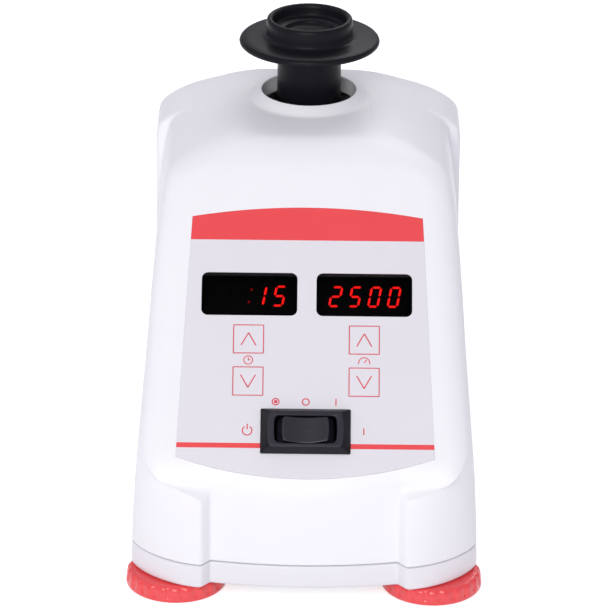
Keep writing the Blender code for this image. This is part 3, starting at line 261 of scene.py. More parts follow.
def studio_white(name, shade, glow):
    """A matt white that adds a little light of its own, only to what the camera or a reflection sees."""
    made = material(name, Base_Color=colour(shade), Roughness=0.9, Emission_Color=colour("#ffffff"))
    tree = made.node_tree
    rays = add(tree, "ShaderNodeLightPath")
    seen = add(tree, "ShaderNodeMath", {0: rays.outputs["Is Camera Ray"], 1: rays.outputs["Is Glossy Ray"]},
               operation="MAXIMUM")
    clear = add(tree, "ShaderNodeMath", {0: seen.outputs[0], 1: rays.outputs["Is Transmission Ray"]},
                operation="MAXIMUM")
    strength = add(tree, "ShaderNodeMath", {0: clear.outputs[0], 1: glow}, operation="MULTIPLY")
    tree.links.new(strength.outputs[0], tree.nodes["Principled BSDF"].inputs["Emission Strength"])
    return made


ground = bmesh.new()
bmesh.ops.create_grid(ground, x_segments=2, y_segments=2, size=FLOOR_SIZE / 2)
floor = placed("floor", as_mesh(ground, "floor"))
floor.data.materials.append(studio_white("studio_floor", "#f2f2f4", FLOOR_GLOW))
print("the floor is", FLOOR_SIZE, "m wide")

# %% Lamps and sky
SKY_STRENGTH = 0.5
MIXER_MIDDLE = Vector((0, 0, 0.06))


def lamp(name, at, size, power, tint="#ffffff"):
    """A square soft lamp that points at the mixer's middle; its place and size are in metres."""
    light = bpy.data.lights.new(name, "AREA")
    light.size = size
    light.color = colour(tint)[:3]
    light.energy = power
    made = placed(name, light)
    made.location = at
    made.rotation_euler = (MIXER_MIDDLE - Vector(at)).to_track_quat("-Z", "Y").to_euler()


lamp("front_lamp", (-0.18, -1.1, 0.68), 0.7, 8.0, "#fffffa")
lamp("left_lamp", (-1.0, 0.1, 0.7), 0.6, 0.95)
lamp("right_lamp", (1.0, -0.25, 0.6), 0.6, 0.1)
lamp("rear_lamp", (0.2, 0.9, 0.9), 0.7, 3.6)
sky = bpy.data.worlds.new("studio")
sky.use_nodes = True
dome = sky.node_tree.nodes["Background"]
dome.inputs["Color"].default_value = colour("#f8f4ff")
rays = add(sky.node_tree, "ShaderNodeLightPath")
seen = add(sky.node_tree, "ShaderNodeMath", {0: rays.outputs["Is Camera Ray"],
                                             1: rays.outputs["Is Transmission Ray"]}, operation="MAXIMUM")
level = add(sky.node_tree, "ShaderNodeMapRange", {"Value": seen.outputs[0], "To Min": SKY_STRENGTH,
                                                  "To Max": 1.0})
sky.node_tree.links.new(level.outputs["Result"], dome.inputs["Strength"])
bpy.context.scene.world = sky
bpy.context.scene.view_settings.view_transform = "Standard"

# %% [markdown]
# ## The moulded housing
# The housing is one injection moulding in white ABS, about 2.5 mm thick. Its plan shape changes with
# height: four rounded corners above, and two foot lobes with sloping tops below. Such a shape could
# be sculpted or cut from a block. A skin over a stack of outlines keeps every dimension in sight,
# and a subdivision surface then gives the folds the small radius that a steel mould leaves.

# %% Housing sizes
housing_low, housing_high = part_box("upper_housing")
LIP_TOP = housing_high.z
LIP_HEIGHT = 2.5 * MM
SEAM = housing_low.z
SEAM_EDGES = [SEAM + 0.25 * MM, SEAM + 0.9 * MM]
HOUSING_TOP = LIP_TOP - LIP_HEIGHT
HEAD_AXIS = Vector((0, middle("motor_shaft").y, 0))
WALL = 2.5 * MM
# The inner wall follows the outer wall's outlines up to this height
TOP_OUTLINE = 110.2 * MM
FRONT_WALL_Y = -77.5 * MM
FRONT_BULGE = 2.8 * MM
FRONT_CORNER = 7.5 * MM
FRONT_BLEND = 2.2 * MM
SLOPE_OFFSET = 115.7 * MM
SHOULDER_ROUND = 25 * MM
REAR_TOP_Y = 68 * MM
REAR_FOOT_Y = housing_high.y + 0.5 * MM
REAR_ROUND = 18 * MM
REAR_CORNER = 16.5 * MM
CHEEK_Y = 34 * MM
CHEEK_BLEND = 3.0 * MM
NOTCH_X = 26.6 * MM
NOTCH_RUN = 2.2 * MM
NARROW_FRONT = 0.8
LOBE_FRONT_Y = housing_low.y
LOBE_OUTER_X = 49.4 * MM
LOBE_DEPTH = 17 * MM
LOBE_SQUARENESS = 1.6
LOBE_TOP = (31.4 * MM, 35.6 * MM)
LOBE_TOP_RISE = 7.5 * MM
LOBE_TOP_FLARE = 8 * MM
LOBE_TOP_EASE = 14 * MM
LOBE_TOP_SOFTENING = 0.9
BOTTOM_Z = 5 * MM
# Heights and half widths in millimetres: the flank in front, the cheek behind it
LOW_WIDTHS = ((5, 49.4), (18, 49.0), (32, 48.2), (44, 47.1), (55, 46.1))
TOP_WIDTHS = ((106.4, 34.2), (108.1, 30.1), (109.6, 24.9), (110.6, 19.0), (111, 13.0))
FLANK = (*LOW_WIDTHS, (65, 45.3), (76, 44.5), (83, 43.8), (90, 43.0), (97, 42.0), (101, 41.1),
         (102.4, 40.4), (104, 38.8), *TOP_WIDTHS)
CHEEK = (*LOW_WIDTHS, (65, 45.4), (76, 45.3), (96, 45.4), (100, 44.9), (101, 44.1), (102.4, 42.3),
         (104, 39.9), *TOP_WIDTHS)
print("housing from", round(SEAM / MM, 1), "to", round(HOUSING_TOP / MM, 1), "mm, lip to",
      round(LIP_TOP / MM, 1))

# %% Front and rear walls


def half_width(table, height):
    """The half width at a height, averaged over about a millimetre so that the table's corners don't show."""
    heights, widths = np.array(table).T * MM
    return float(np.mean(np.interp(height + np.linspace(-0.6, 0.6, 7) * MM, heights, widths)))


def smooth_max(first, second):
    """The larger of two distances, eased over the width of a moulded fold."""
    return max(first, second) + FRONT_BLEND * math.log1p(math.exp(-abs(first - second) / FRONT_BLEND))


def front_y(x, height):
    """The bowed front wall, the slope above it and the round shoulder at the top."""
    wall = FRONT_WALL_Y - FRONT_BULGE * max(0.0, 1 - (x / NOTCH_X) ** 2)
    slope = height - SLOPE_OFFSET
    start = HOUSING_TOP - SHOULDER_ROUND * (1 - math.sqrt(0.5))
    if height <= start:
        return smooth_max(wall, slope)
    centre_y = start - SLOPE_OFFSET + SHOULDER_ROUND * math.sqrt(0.5)
    rise = height - (HOUSING_TOP - SHOULDER_ROUND)
    return centre_y - math.sqrt(max(0.0, SHOULDER_ROUND ** 2 - rise ** 2))


def rear_y(height):
    """The leaning rear wall and the round edge above it."""
    rise = height - (HOUSING_TOP - REAR_ROUND)
    if rise > 0:
        return REAR_TOP_Y - REAR_ROUND + math.sqrt(max(0.0, REAR_ROUND ** 2 - rise ** 2))
    share = (height - BOTTOM_Z) / (HOUSING_TOP - REAR_ROUND - BOTTOM_Z)
    return REAR_FOOT_Y + (REAR_TOP_Y - REAR_FOOT_Y) * share


print("the rear wall leans in by", round((rear_y(BOTTOM_Z) - rear_y(HOUSING_TOP - REAR_ROUND)) / MM, 1), "mm")

# %% Foot lobes and front corners
# Where the notch between front wall and lobe begins, and how deep it is there, as shares
NOTCH_START = 0.3
NOTCH_MIX = 0.4
FIRST_TURN = math.radians(3.5)


def lobe_share(x, height):
    """1 where the foot lobe stands out in full, 0 above its sloping top, which fades out at the flank."""
    outward = min(1.0, max(0.0, x - NOTCH_X) / (LOBE_OUTER_X - NOTCH_X))
    flare = outward ** 4
    top = LOBE_TOP[1] + LOBE_TOP_RISE * outward + LOBE_TOP_FLARE * flare
    reach = LOBE_TOP[1] - LOBE_TOP[0] + LOBE_TOP_EASE * flare
    share = min(1.0, max(0.0, (top - height) / reach))
    return share * (1 - LOBE_TOP_SOFTENING) + share * share * (3 - 2 * share) * LOBE_TOP_SOFTENING


def corner_points(height, flank, inset):
    """The front corner from the notch round to the flank, between the lobe's curve and the wall's."""
    wall_y = front_y(NOTCH_X, height)
    slope = height - SLOPE_OFFSET
    share = lobe_share(NOTCH_X, height)
    notch_y = wall_y + (smooth_max(LOBE_FRONT_Y, slope) - wall_y) * share
    lobe_start = NOTCH_X + NOTCH_RUN + inset
    points = [(NOTCH_X + NOTCH_START * NOTCH_RUN + inset * share,
               wall_y * (1 - NOTCH_MIX) + notch_y * NOTCH_MIX + inset),
              (NOTCH_X + NOTCH_RUN + inset * share, notch_y + inset)]
    high_round = min(FRONT_CORNER, flank * 0.5) - inset * 0.5
    power = 2 / LOBE_SQUARENESS
    for angle in [FIRST_TURN, *np.linspace(0, math.pi / 2, 14)[1:]]:
        low_x = lobe_start + (flank - lobe_start) * math.sin(angle) ** power
        low_y = LOBE_FRONT_Y + LOBE_DEPTH * (1 - max(0.0, math.cos(angle)) ** power)
        low_y = smooth_max(low_y, slope) + inset
        high_x = flank - high_round * (1 - math.sin(angle))
        high_y = wall_y + inset + high_round * (1 - math.cos(angle))
        share = lobe_share(low_x, height)
        points.append((high_x + (low_x - high_x) * share, high_y + (low_y - high_y) * share))
    return points


print("beside the notch a lobe is", round(100 * lobe_share(NOTCH_X, sum(LOBE_TOP) / 2)), "% out half way up")

# %% Whole outline
NOTCH_HOLD = 0.97
FLANK_SHARES = (0.25, 0.5, 0.75, 0.92)
# The step from flank to cheek: shares of its height outwards, and of its blend backwards
CHEEK_STEP = ((0.0, -0.5), (0.15, -0.3), (0.85, -0.1), (1.0, 0.1))


def outline(height, inset=0.0):
    """The right half of the outline at a height, from the front's middle round to the rear's middle."""
    flank = half_width(FLANK, height) - inset
    cheek = half_width(CHEEK, height) - inset
    back = rear_y(height) - inset
    corner_start = flank - min(FRONT_CORNER, flank * 0.5)
    notch = min(NOTCH_X, corner_start * NARROW_FRONT)
    across = [*np.linspace(0, notch * NOTCH_HOLD, 8), notch]
    points = [(x, front_y(x, height) + inset) for x in across]
    corner = corner_points(height, flank, inset)
    if notch < NOTCH_X:
        wall_y = front_y(NOTCH_X, height) + inset
        corner[0] = (notch + (corner_start - notch) / 3, wall_y)
        corner[1] = (notch + (corner_start - notch) * 2 / 3, wall_y)
    points += corner
    rear_round = min(REAR_CORNER, cheek * 0.5) - inset * 0.5
    step_y = min(CHEEK_Y, back - rear_round - CHEEK_BLEND)
    front_end = points[-1][1]
    for share in FLANK_SHARES:
        points.append((flank, front_end + (step_y - CHEEK_BLEND - front_end) * share))
    for share, y in CHEEK_STEP:
        points.append((flank + (cheek - flank) * share, step_y + y * CHEEK_BLEND))
    for angle in np.linspace(0, math.pi / 2, 11):
        points.append((cheek - rear_round + rear_round * math.cos(angle),
                       back - rear_round + rear_round * math.sin(angle)))
    points += [(x, back) for x in np.linspace(points[-1][0], 0, 4)[1:]]
    return points


def ring_points(height, inset=0.0):
    """The whole outline at a height, as places."""
    right = outline(height, inset)
    left = [(-x, y) for x, y in reversed(right[1:-1])]
    return [Vector((x, y, height)) for x, y in right + left]


print("an outline has", len(ring_points(50 * MM)), "points")

# %% Skins over stacked outlines
# Radius and height in millimetres, up over the lip and down into the head's hole
LIP_PROFILE = ((17.9, 110.93), (17.4, 111.06), (16.9, 111.34), (16.3, 111.8), (15.7, 112.3), (15.1, 112.78),
               (14.6, 113.18), (14.3, 113.42), (14.1, 113.5), (13.96, 113.4), (13.9, 113.15), (13.9, 112.4),
               (13.9, 110.4), (13.9, 108.7), (14.0, 108.5), (15.3, 108.4))


def lofted(rings):
    """Bends a flat grid onto a stack of outlines, one row of the grid to each outline."""
    rows, columns = len(rings), len(rings[0])
    shape = bmesh.new()
    bmesh.ops.create_grid(shape, x_segments=columns, y_segments=rows - 1, size=0.5)
    for vertex in shape.verts:
        column = round((vertex.co.x + 0.5) * columns)
        row = round((vertex.co.y + 0.5) * (rows - 1))
        vertex.co = rings[row][column % columns]
    return cleaned(shape)


def capped(shape):
    """Fills a shape's open ends."""
    bmesh.ops.holes_fill(shape, edges=[edge for edge in shape.edges if edge.is_boundary], sides=0)
    bmesh.ops.recalc_face_normals(shape, faces=shape.faces)
    return shape


def circle_points(radius, height, count):
    """An even circle about the head's axis that starts at the front."""
    turns = np.arange(count) / count * 2 * math.pi - math.pi / 2
    return [Vector((radius * math.cos(a), HEAD_AXIS.y + radius * math.sin(a), height)) for a in turns]


print("the lip is", round(LIP_PROFILE[0][0] - LIP_PROFILE[-2][0], 1), "mm wide")

# %% Rows of heights and blends


def heights_between(stops):
    """Heights in metres from (start, end, step) spans in millimetres."""
    spans = [np.arange(start, end, step) for start, end, step in stops]
    return [float(height) * MM for height in np.concatenate(spans)]


def blended(first, second, shares):
    """Rings that lie part of the way from one ring to another."""
    return [[a.lerp(b, share) for a, b in zip(first, second)] for share in shares]


print("steps of 3.2 mm from 15 to 31 mm give", len(heights_between(((15, 31, 3.2),))), "outlines")

# %% Housing shell
outer_heights = [SEAM, *SEAM_EDGES]
outer_heights += heights_between(((15, 31, 3.2), (31, 54, 0.8), (54, 97, 3.0), (97, 108, 0.7),
                                  (108, 110.7, 0.42)))
outer = [ring_points(height) for height in outer_heights]
lip = [circle_points(radius * MM, height * MM, len(outer[0])) for radius, height in LIP_PROFILE]
crown = blended(outer[-1], lip[0], (0.25, 0.5, 0.75))
inner_heights = heights_between(((107.5, 98, -1.6), (98, 54, -6), (54, 31, -1.7), (31, 15, -5)))
inner_heights += SEAM_EDGES[::-1]
inner = [[Vector((p.x, p.y, height)) for p in ring_points(min(height + WALL, TOP_OUTLINE), WALL)]
         for height in inner_heights]
inner.append([Vector((p.x, p.y, SEAM)) for p in inner[-1]])
shell = lofted(outer + crown + lip + inner + outer[:1])
print("the shell has", len(outer + crown + lip + inner), "rings of", len(outer[0]), "points")

# %% [markdown]
# ## Tools for cutting
# In the real mould, blocks of steel keep the openings free. Here the housing is made whole and its
# openings are cut with a boolean, which keeps each opening's size in one place. The panel leans, so
# its openings are laid out on its own flat plane: right, up the slope, and out. One matrix carries
# them onto the slope.

# %% The panel's plane
panel_low, panel_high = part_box("panel_film")
PANEL_TILT = math.radians(45)
FILM = 0.5 * MM
GAP = 0.3 * MM
panel_normal = Vector((0, -math.sin(PANEL_TILT), math.cos(PANEL_TILT)))
PANEL = (Matrix.Translation((panel_low + panel_high) / 2 + panel_normal * FILM / 2)
         @ Matrix.Rotation(PANEL_TILT, 4, "X"))
TO_PANEL = PANEL.inverted()
WORLD = Matrix.Identity(4)


def panel_box(node):
    """A solid's lowest and highest corners on the panel's plane: right, up the slope, and out."""
    spots = np.array([TO_PANEL @ vertex.co for vertex in frame["nodes"][node].data.vertices])
    return Vector(spots.min(axis=0)), Vector(spots.max(axis=0))


print("the film is", round((panel_box("panel_film")[1] - panel_box("panel_film")[0]).x / MM, 1), "mm wide")

# %% Blocks, rods and prisms


def cubes(stands_in, *blocks):
    """Separate blocks in one frame, each given as its middle and its size."""
    shape = bmesh.new()
    for centre, size in blocks:
        bmesh.ops.create_cube(shape, size=1.0, matrix=stands_in @ Matrix.Translation(centre)
                              @ Matrix.Diagonal((*size, 1)))
    return shape


def rods(places, radius, low, high, segments=48, stands_in=WORLD):
    """Rods that stand upright in a frame, as stems or to cut round holes."""
    shape = bmesh.new()
    for place in places:
        bmesh.ops.create_cone(shape, cap_ends=True, segments=segments, radius1=radius, radius2=radius,
                              depth=high - low, matrix=stands_in @ Matrix.Translation(
                                  (place.x, place.y, (low + high) / 2)))
    return shape


def prism(points, low, high, stands_in):
    """A flat outline of (x, y) points pulled up from one height to another."""
    shape = bmesh.new()
    corners = [shape.verts.new((x, y, low)) for x, y in points]
    face = shape.faces.new(corners)
    pulled = bmesh.ops.extrude_face_region(shape, geom=[face])["geom"]
    tops = [item for item in pulled if isinstance(item, bmesh.types.BMVert)]
    bmesh.ops.translate(shape, verts=tops, vec=(0, 0, high - low))
    bmesh.ops.transform(shape, matrix=stands_in, verts=shape.verts)
    bmesh.ops.recalc_face_normals(shape, faces=shape.faces)
    return shape


print("openings are cut with a gap of", round(GAP / MM, 2), "mm all round")

# %% Cutting and adding
LEVEL_ROOM = 0.01 * MM


def face_edges(shape, level, stands_in):
    """The edges of a shape that lie at a level of its own frame."""
    back = stands_in.inverted()
    return [edge for edge in shape.edges
            if all(abs((back @ end.co).z - level) < LEVEL_ROOM for end in edge.verts)]


def added(shape, part):
    """Adds one bmesh to another, with its finishes, and frees it."""
    mesh = as_mesh(part, "part")
    shape.from_mesh(mesh)
    bpy.data.meshes.remove(mesh)


def carved(shape, cutters, levels=0, unions=0):
    """Subdivides a shape, adds the volumes of the first few cutters, and takes out the rest."""
    held = [placed("carving", as_mesh(item, "carving")) for item in (shape, *cutters)]
    if levels:
        smooth = held[0].modifiers.new("Smooth", "SUBSURF")
        smooth.levels = levels
        smooth.render_levels = levels
    for index, cutter in enumerate(held[1:]):
        step = held[0].modifiers.new("Cut", "BOOLEAN")
        step.operation = "UNION" if index < unions else "DIFFERENCE"
        step.object = cutter
    bpy.context.view_layer.update()
    graph = bpy.context.evaluated_depsgraph_get()
    made = bmesh.new()
    made.from_mesh(bpy.data.meshes.new_from_object(held[0].evaluated_get(graph)))
    for item in held:
        bpy.data.objects.remove(item, do_unlink=True)
    return made


print("edges count as level within", round(LEVEL_ROOM / MM, 3), "mm")

# %% Film outline
PANEL_HALF_TOP = 32.7 * MM
PANEL_HALF_BOTTOM = panel_high.x
PANEL_TOP_ARC = 3.0 * MM
PANEL_BOTTOM_ARC = 6.2 * MM
PANEL_TOP_V = (TO_PANEL @ panel_high).y - FILM / 2 - PANEL_TOP_ARC
PANEL_BOTTOM_V = (TO_PANEL @ panel_low).y + FILM / 2 + PANEL_BOTTOM_ARC


def film_outline(grow=0.0):
    """The film's tapering outline with arched ends, anticlockwise in panel coordinates."""
    points = [(share * (PANEL_HALF_TOP + grow), PANEL_TOP_V + grow + PANEL_TOP_ARC * (1 - share ** 2))
              for share in np.linspace(1, -1, 17)]
    for share in np.linspace(-1, 1, 21):
        points.append((share * (PANEL_HALF_BOTTOM + grow),
                       PANEL_BOTTOM_V - grow - PANEL_BOTTOM_ARC * (1 - share ** 2)))
    return points


print("film from", round(PANEL_BOTTOM_V / MM, 1), "to", round(PANEL_TOP_V / MM, 1), "mm up the slope")

# %% [markdown]
# ## White ABS
# ABS is the usual plastic for laboratory housings. The mould is spark eroded, which leaves a fine
# even grain: highlights spread out and no reflection is sharp. The grain's real pitch is a tenth of
# a millimetre. It is drawn at a third of a millimetre so that it still shows.

# %% Housing material
white_abs = grained(material("moulded_white_abs", Roughness=0.42, IOR=1.53, Specular_IOR_Level=0.4),
                    "#f1f1f6", "#f7f7fb", speck_mm=0.35, tone_mm=45, height_mm=0.004)

# %% Openings in the panel
THROUGH = 24 * MM
WINDOW_SIZE = Vector((27.2, 13.0, 2.0)) * MM
KEY_SIZE = 8.26 * MM
SWITCH_WIDTH = 23.4 * MM
SWITCH_HEIGHT = 11.4 * MM
windows = {word: TO_PANEL @ middle(word + "_window") for word in ("time", "speed")}
rocker_joint = next(joint for joint in frame["joints"] if joint["name"] == "rocker_tilt")
switch_centre = TO_PANEL @ Vector(rocker_joint["pos_m"])
keys = {}
for node in ("key_time_up", "key_time_down", "key_speed_up", "key_speed_down"):
    low, high = panel_box(node)
    keys[node] = Vector(((low.x + high.x) / 2, (low.y + high.y) / 2, 0))


def opening(x, y, width, height, depth):
    """A block that cuts an opening through the panel's surface, with a gap all round."""
    return Vector((x, y, 0)), (width + 2 * GAP, height + 2 * GAP, depth)


def control_openings(depth):
    """The blocks that cut the openings for the keys and the switch."""
    blocks = [opening(spot.x, spot.y, KEY_SIZE, KEY_SIZE, depth) for spot in keys.values()]
    return blocks + [opening(0, switch_centre.y, SWITCH_WIDTH, SWITCH_HEIGHT, depth)]


holes = [opening(spot.x, spot.y, WINDOW_SIZE.x, WINDOW_SIZE.y, THROUGH) for spot in windows.values()]
holes += control_openings(THROUGH)
print("the panel has", len(holes), "openings")

# %% Housing piece
FLANGE = 2.4 * MM
POCKET_DEPTH = 20 * MM
POCKET_ROUND_MM = 2.0
RECESS_TOP = 3 * MM
inlet_low, inlet_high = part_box("mains_inlet")
inlet_middle = middle("mains_inlet")
inlet_size = inlet_high - inlet_low
pocket_front = inlet_high.y - FLANGE - GAP
pocket = cubes(WORLD, (Vector((0, pocket_front + POCKET_DEPTH / 2, inlet_middle.z)),
                       (inlet_size.x + 2 * GAP, POCKET_DEPTH, inlet_size.z + 2 * GAP)))
softened(pocket, [edge for edge in pocket.edges
                  if abs((edge.verts[0].co - edge.verts[1].co).y) > POCKET_DEPTH / 2], POCKET_ROUND_MM, 4)
recess = prism(film_outline(GAP), -FILM - GAP, RECESS_TOP, PANEL)
housing = carved(shell, [recess, cubes(PANEL, *holes), pocket], levels=1)
piece(housing, "white_housing", [white_abs], "housing", ["upper_housing"], sharp=48, tidy=False)

# %% [markdown]
# ## The printed film
# The panel is a polyester film, printed on its back and glued into a shallow recess. The real one is
# a single sheet, and its keys are only places where it flexes over a switch. Here the print is real
# thin ink on the film's top, so that every line keeps a crisp edge. The maker's words are left off:
# a clock, a speed dial and the standard switch symbols say what each control does.

# %% Film and ink
# Polyester sheet is rolled and coated matt, so it is even and shines softly. Screen ink is pressed
# through a mesh, which leaves a faint grain and a slow drift of tone.
polyester = grained(material("matt_polyester_film", Roughness=0.42, IOR=1.57), "#e2e0e7", "#e7e5ec",
                    speck_mm=0.3, tone_mm=30, height_mm=0.002)
red_ink = grained(material("red_screen_ink", Roughness=0.45), "#ec4449", "#f14d52",
                  speck_mm=0.3, tone_mm=20, height_mm=0.002)
line_ink = grained(material("red_line_ink", Roughness=0.5), "#d94152", "#e04b5a",
                   speck_mm=0.3, tone_mm=20, height_mm=0.001)

# %% Round corners
CORNER_STEPS = 6


def rounded(width, height, radius, steps=CORNER_STEPS):
    """A rectangle about the origin with round corners, anticlockwise."""
    points = []
    for corner, (side_x, side_y) in enumerate(((1, 1), (-1, 1), (-1, -1), (1, -1))):
        for step in range(steps + 1):
            angle = math.pi / 2 * (corner + step / steps)
            points.append((side_x * (width / 2 - radius) + radius * math.cos(angle),
                           side_y * (height / 2 - radius) + radius * math.sin(angle)))
    return points


def shifted(points, spot):
    """An outline moved to a spot."""
    return [(x + spot[0], y + spot[1]) for x, y in points]


print("a round-cornered outline has", len(rounded(2, 1, 0.1)), "points")

# %% Film piece
HAIR_GAP = 0.03 * MM
WINDOW_ROUND = 1.85 * MM
BAND_V = 30.9 * MM
STRIPE_V = -31.3 * MM
STRIPE_WIDTH = 1.5 * MM
window_cut = rounded(WINDOW_SIZE.x + 2 * HAIR_GAP, WINDOW_SIZE.y + 2 * HAIR_GAP, WINDOW_ROUND)
film_cutters = [prism(shifted(window_cut, spot), -2 * FILM, FILM, PANEL) for spot in windows.values()]
film_cutters.append(cubes(PANEL, *control_openings(4 * FILM)))
film = carved(prism(film_outline(GAP - HAIR_GAP), -FILM, 0, PANEL), film_cutters)
slope_up = PANEL.to_3x3() @ Vector((0, 1, 0))
for v in (BAND_V, STRIPE_V + STRIPE_WIDTH / 2, STRIPE_V - STRIPE_WIDTH / 2):
    bmesh.ops.bisect_plane(film, geom=film.verts[:] + film.edges[:] + film.faces[:], dist=SAME_PLACE / 2,
                           plane_co=PANEL @ Vector((0, v, 0)), plane_no=slope_up)
for face in film.faces:
    v = (TO_PANEL @ face.calc_center_median()).y
    if v > BAND_V or abs(v - STRIPE_V) < STRIPE_WIDTH / 2:
        face.material_index = 1
piece(film, "control_film", [polyester, red_ink], "housing", ["panel_film"], tidy=False)

# %% Strokes of ink
PRINT = 0.02 * MM
STROKE = 0.34 * MM
FINE_STROKE = 0.28 * MM


def arc_band(centre, radius, start, end, stroke, steps=20):
    """The outline of a curved stroke between two angles in degrees."""
    turns = np.radians(np.linspace(start, end, steps))
    outer, inner = [[(centre[0] + reach * math.cos(a), centre[1] + reach * math.sin(a)) for a in turns]
                    for reach in (radius + stroke / 2, radius - stroke / 2)]
    return outer + inner[::-1]


def bar(start, end, stroke):
    """The outline of a straight stroke."""
    along = (Vector(end) - Vector(start)).normalized()
    side = Vector((-along.y, along.x)) * stroke / 2
    return [tuple(Vector(spot) + turn)
            for spot, turn in ((start, -side), (end, -side), (end, side), (start, side))]


def circle(centre, radius, stroke):
    """A ring in two halves, because a single outline can't have a hole."""
    return [arc_band(centre, radius, 0, 180, stroke), arc_band(centre, radius, 180, 360, stroke)]


def printed(outlines):
    """Thin ink in the shape of several outlines."""
    shape = bmesh.new()
    for points in outlines:
        added(shape, prism(points, 0.0, PRINT, PANEL))
    return shape


print("a stroke of ink is", round(STROKE / MM, 2), "mm wide")

# %% Symbols
CLOCK_RADIUS = 1.25 * MM
LONG_HAND = 0.85 * MM
SHORT_HAND = 0.65 * MM
DIAL_RADIUS = 1.55 * MM
DIAL_DROP = 0.5 * MM
NEEDLE = 1.2 * MM
NEEDLE_ANGLE = math.radians(50)
STANDBY_RADIUS = 1.35 * MM
STANDBY_BAR = (0.35 * MM, 2.0 * MM)
ON_BAR_HALF = 1.0 * MM


def clock(spot):
    """A round face with two hands, for the time."""
    u, v = spot
    hands = [bar((u, v - FINE_STROKE / 2), (u, v + LONG_HAND), FINE_STROKE),
             bar((u + FINE_STROKE / 2, v), (u + SHORT_HAND, v), FINE_STROKE)]
    return circle(spot, CLOCK_RADIUS, FINE_STROKE) + hands


def speed_dial(spot):
    """An open arc with a needle, for the speed."""
    u, v = spot[0], spot[1] - DIAL_DROP
    tip = (u + NEEDLE * math.cos(NEEDLE_ANGLE), v + NEEDLE * math.sin(NEEDLE_ANGLE))
    return [arc_band((u, v), DIAL_RADIUS, -15, 195, FINE_STROKE), bar((u, v), tip, FINE_STROKE)]


def standby(spot):
    """A broken ring with a bar in its gap."""
    u, v = spot
    return [arc_band(spot, STANDBY_RADIUS, 120, 420, STROKE),
            bar((u, v + STANDBY_BAR[0]), (u, v + STANDBY_BAR[1]), STROKE)]


def on_bar(spot):
    """An upright bar, for on."""
    u, v = spot
    return [bar((u, v - ON_BAR_HALF), (u, v + ON_BAR_HALF), STROKE)]


print("the clock takes", len(clock((0, 0))), "strokes")

# %% Printed symbols
SYMBOL_V = switch_centre.y + 0.2 * MM
ROW_V = switch_centre.y + 8.9 * MM
ROW_U = 8.5 * MM
RING_RADIUS = 0.95 * MM
DOT_RADIUS = 0.28 * MM
DOT_STROKE = 0.5 * MM
word_v = (keys["key_time_up"].y + keys["key_time_down"].y) / 2
time_u, speed_u = keys["key_time_up"].x, keys["key_speed_up"].x
marks = clock((time_u, word_v)) + speed_dial((speed_u, word_v)) + standby((time_u, SYMBOL_V))
marks += on_bar((speed_u, SYMBOL_V))
marks += circle((-ROW_U, ROW_V), RING_RADIUS, STROKE) + circle((-ROW_U, ROW_V), DOT_RADIUS, DOT_STROKE)
marks += circle((0, ROW_V), RING_RADIUS, STROKE) + on_bar((ROW_U, ROW_V))
piece(printed(marks), "printed_symbols", [line_ink], "housing", tidy=False)
print(len(marks), "strokes of ink")

# %% [markdown]
# ## The keys
# Each key is the square of film over one tact switch, with a thin printed frame and a chevron, and a
# stem that reaches down to the switch. It is a piece of its own so that it can sink when it is
# pressed, and it fills its place in the film to within a hair so that the sheet looks whole.

# %% Keys
KEY_STEM = 1.7 * MM
STEM_ROOM = 0.01 * MM
KEY_ROUND = 0.1 * MM
KEY_FRAME = 0.8 * STROKE
CHEVRON = Vector((2.1, 1.9)) * MM
key_width = KEY_SIZE + 2 * GAP - 2 * HAIR_GAP
half = key_width / 2 - STROKE / 2
for node, spot in keys.items():
    key = prism(shifted(rounded(key_width, key_width, KEY_ROUND, 2), spot), -FILM, 0, PANEL)
    reach = panel_box(node)[0].z
    added(key, rods([spot], KEY_STEM, reach - STEM_ROOM, -FILM - STEM_ROOM, 32, PANEL))
    corners = [(spot.x + x * half, spot.y + y * half) for x, y in ((-1, -1), (1, -1), (1, 1), (-1, 1))]
    strokes = [bar(a, b, KEY_FRAME) for a, b in zip(corners, corners[1:] + corners[:1])]
    way = 1 if node.endswith("up") else -1
    tip = (spot.x, spot.y + way * CHEVRON.y)
    strokes += [bar((spot.x + side * CHEVRON.x, spot.y - way * CHEVRON.y), tip, STROKE) for side in (-1, 1)]
    ink = printed(strokes)
    for face in ink.faces:
        face.material_index = 1
    added(key, ink)
    piece(key, node.replace("key_", "key_face_"), [polyester, line_ink], node, [node],
          tidy=False)
print("keys are", round(key_width / MM, 2), "mm square")

# %% [markdown]
# ## Displays behind smoked windows
# A seven-segment display is a black epoxy block whose face has a slanted bar for each lamp. A sheet
# of smoked acrylic in front hides the bars that are off. The acrylic is made part see-through rather
# than as refracting glass: what shows behind it is the same, and it renders without noise.

# %% Display finishes
# The window is sheet acrylic, cast smooth, with faint flow waves. The lamps are moulded epoxy bars,
# whose faces are slightly frosted to spread the light.
smoked_acrylic = grained(material("smoked_acrylic_window", Roughness=0.06, IOR=1.49, Alpha=0.55,
                                  Specular_IOR_Level=0.02), "#000000", "#020203",
                         speck_mm=3, tone_mm=8, height_mm=0.001, spread=0.02)
black_epoxy = grained(material("black_epoxy", Roughness=0.6), "#010101", "#040303",
                      speck_mm=0.4, tone_mm=6, height_mm=0.004)
unlit_lamp = grained(material("unlit_red_lamp", Roughness=0.5), "#0f0304", "#150506",
                     speck_mm=0.3, tone_mm=2, height_mm=0.003)
LAMP_GLOW = colour("#ff1a16")
lit_lamp = material("lit_red_lamp", Roughness=0.4, Emission_Color=LAMP_GLOW, Emission_Strength=5.0)
dim_lamp = material("dim_red_lamp", Roughness=0.4, Emission_Color=LAMP_GLOW, Emission_Strength=0.9)
for finish in (lit_lamp, dim_lamp):
    grained(finish, "#2c0305", "#340507", speck_mm=0.3, tone_mm=2, height_mm=0.003)

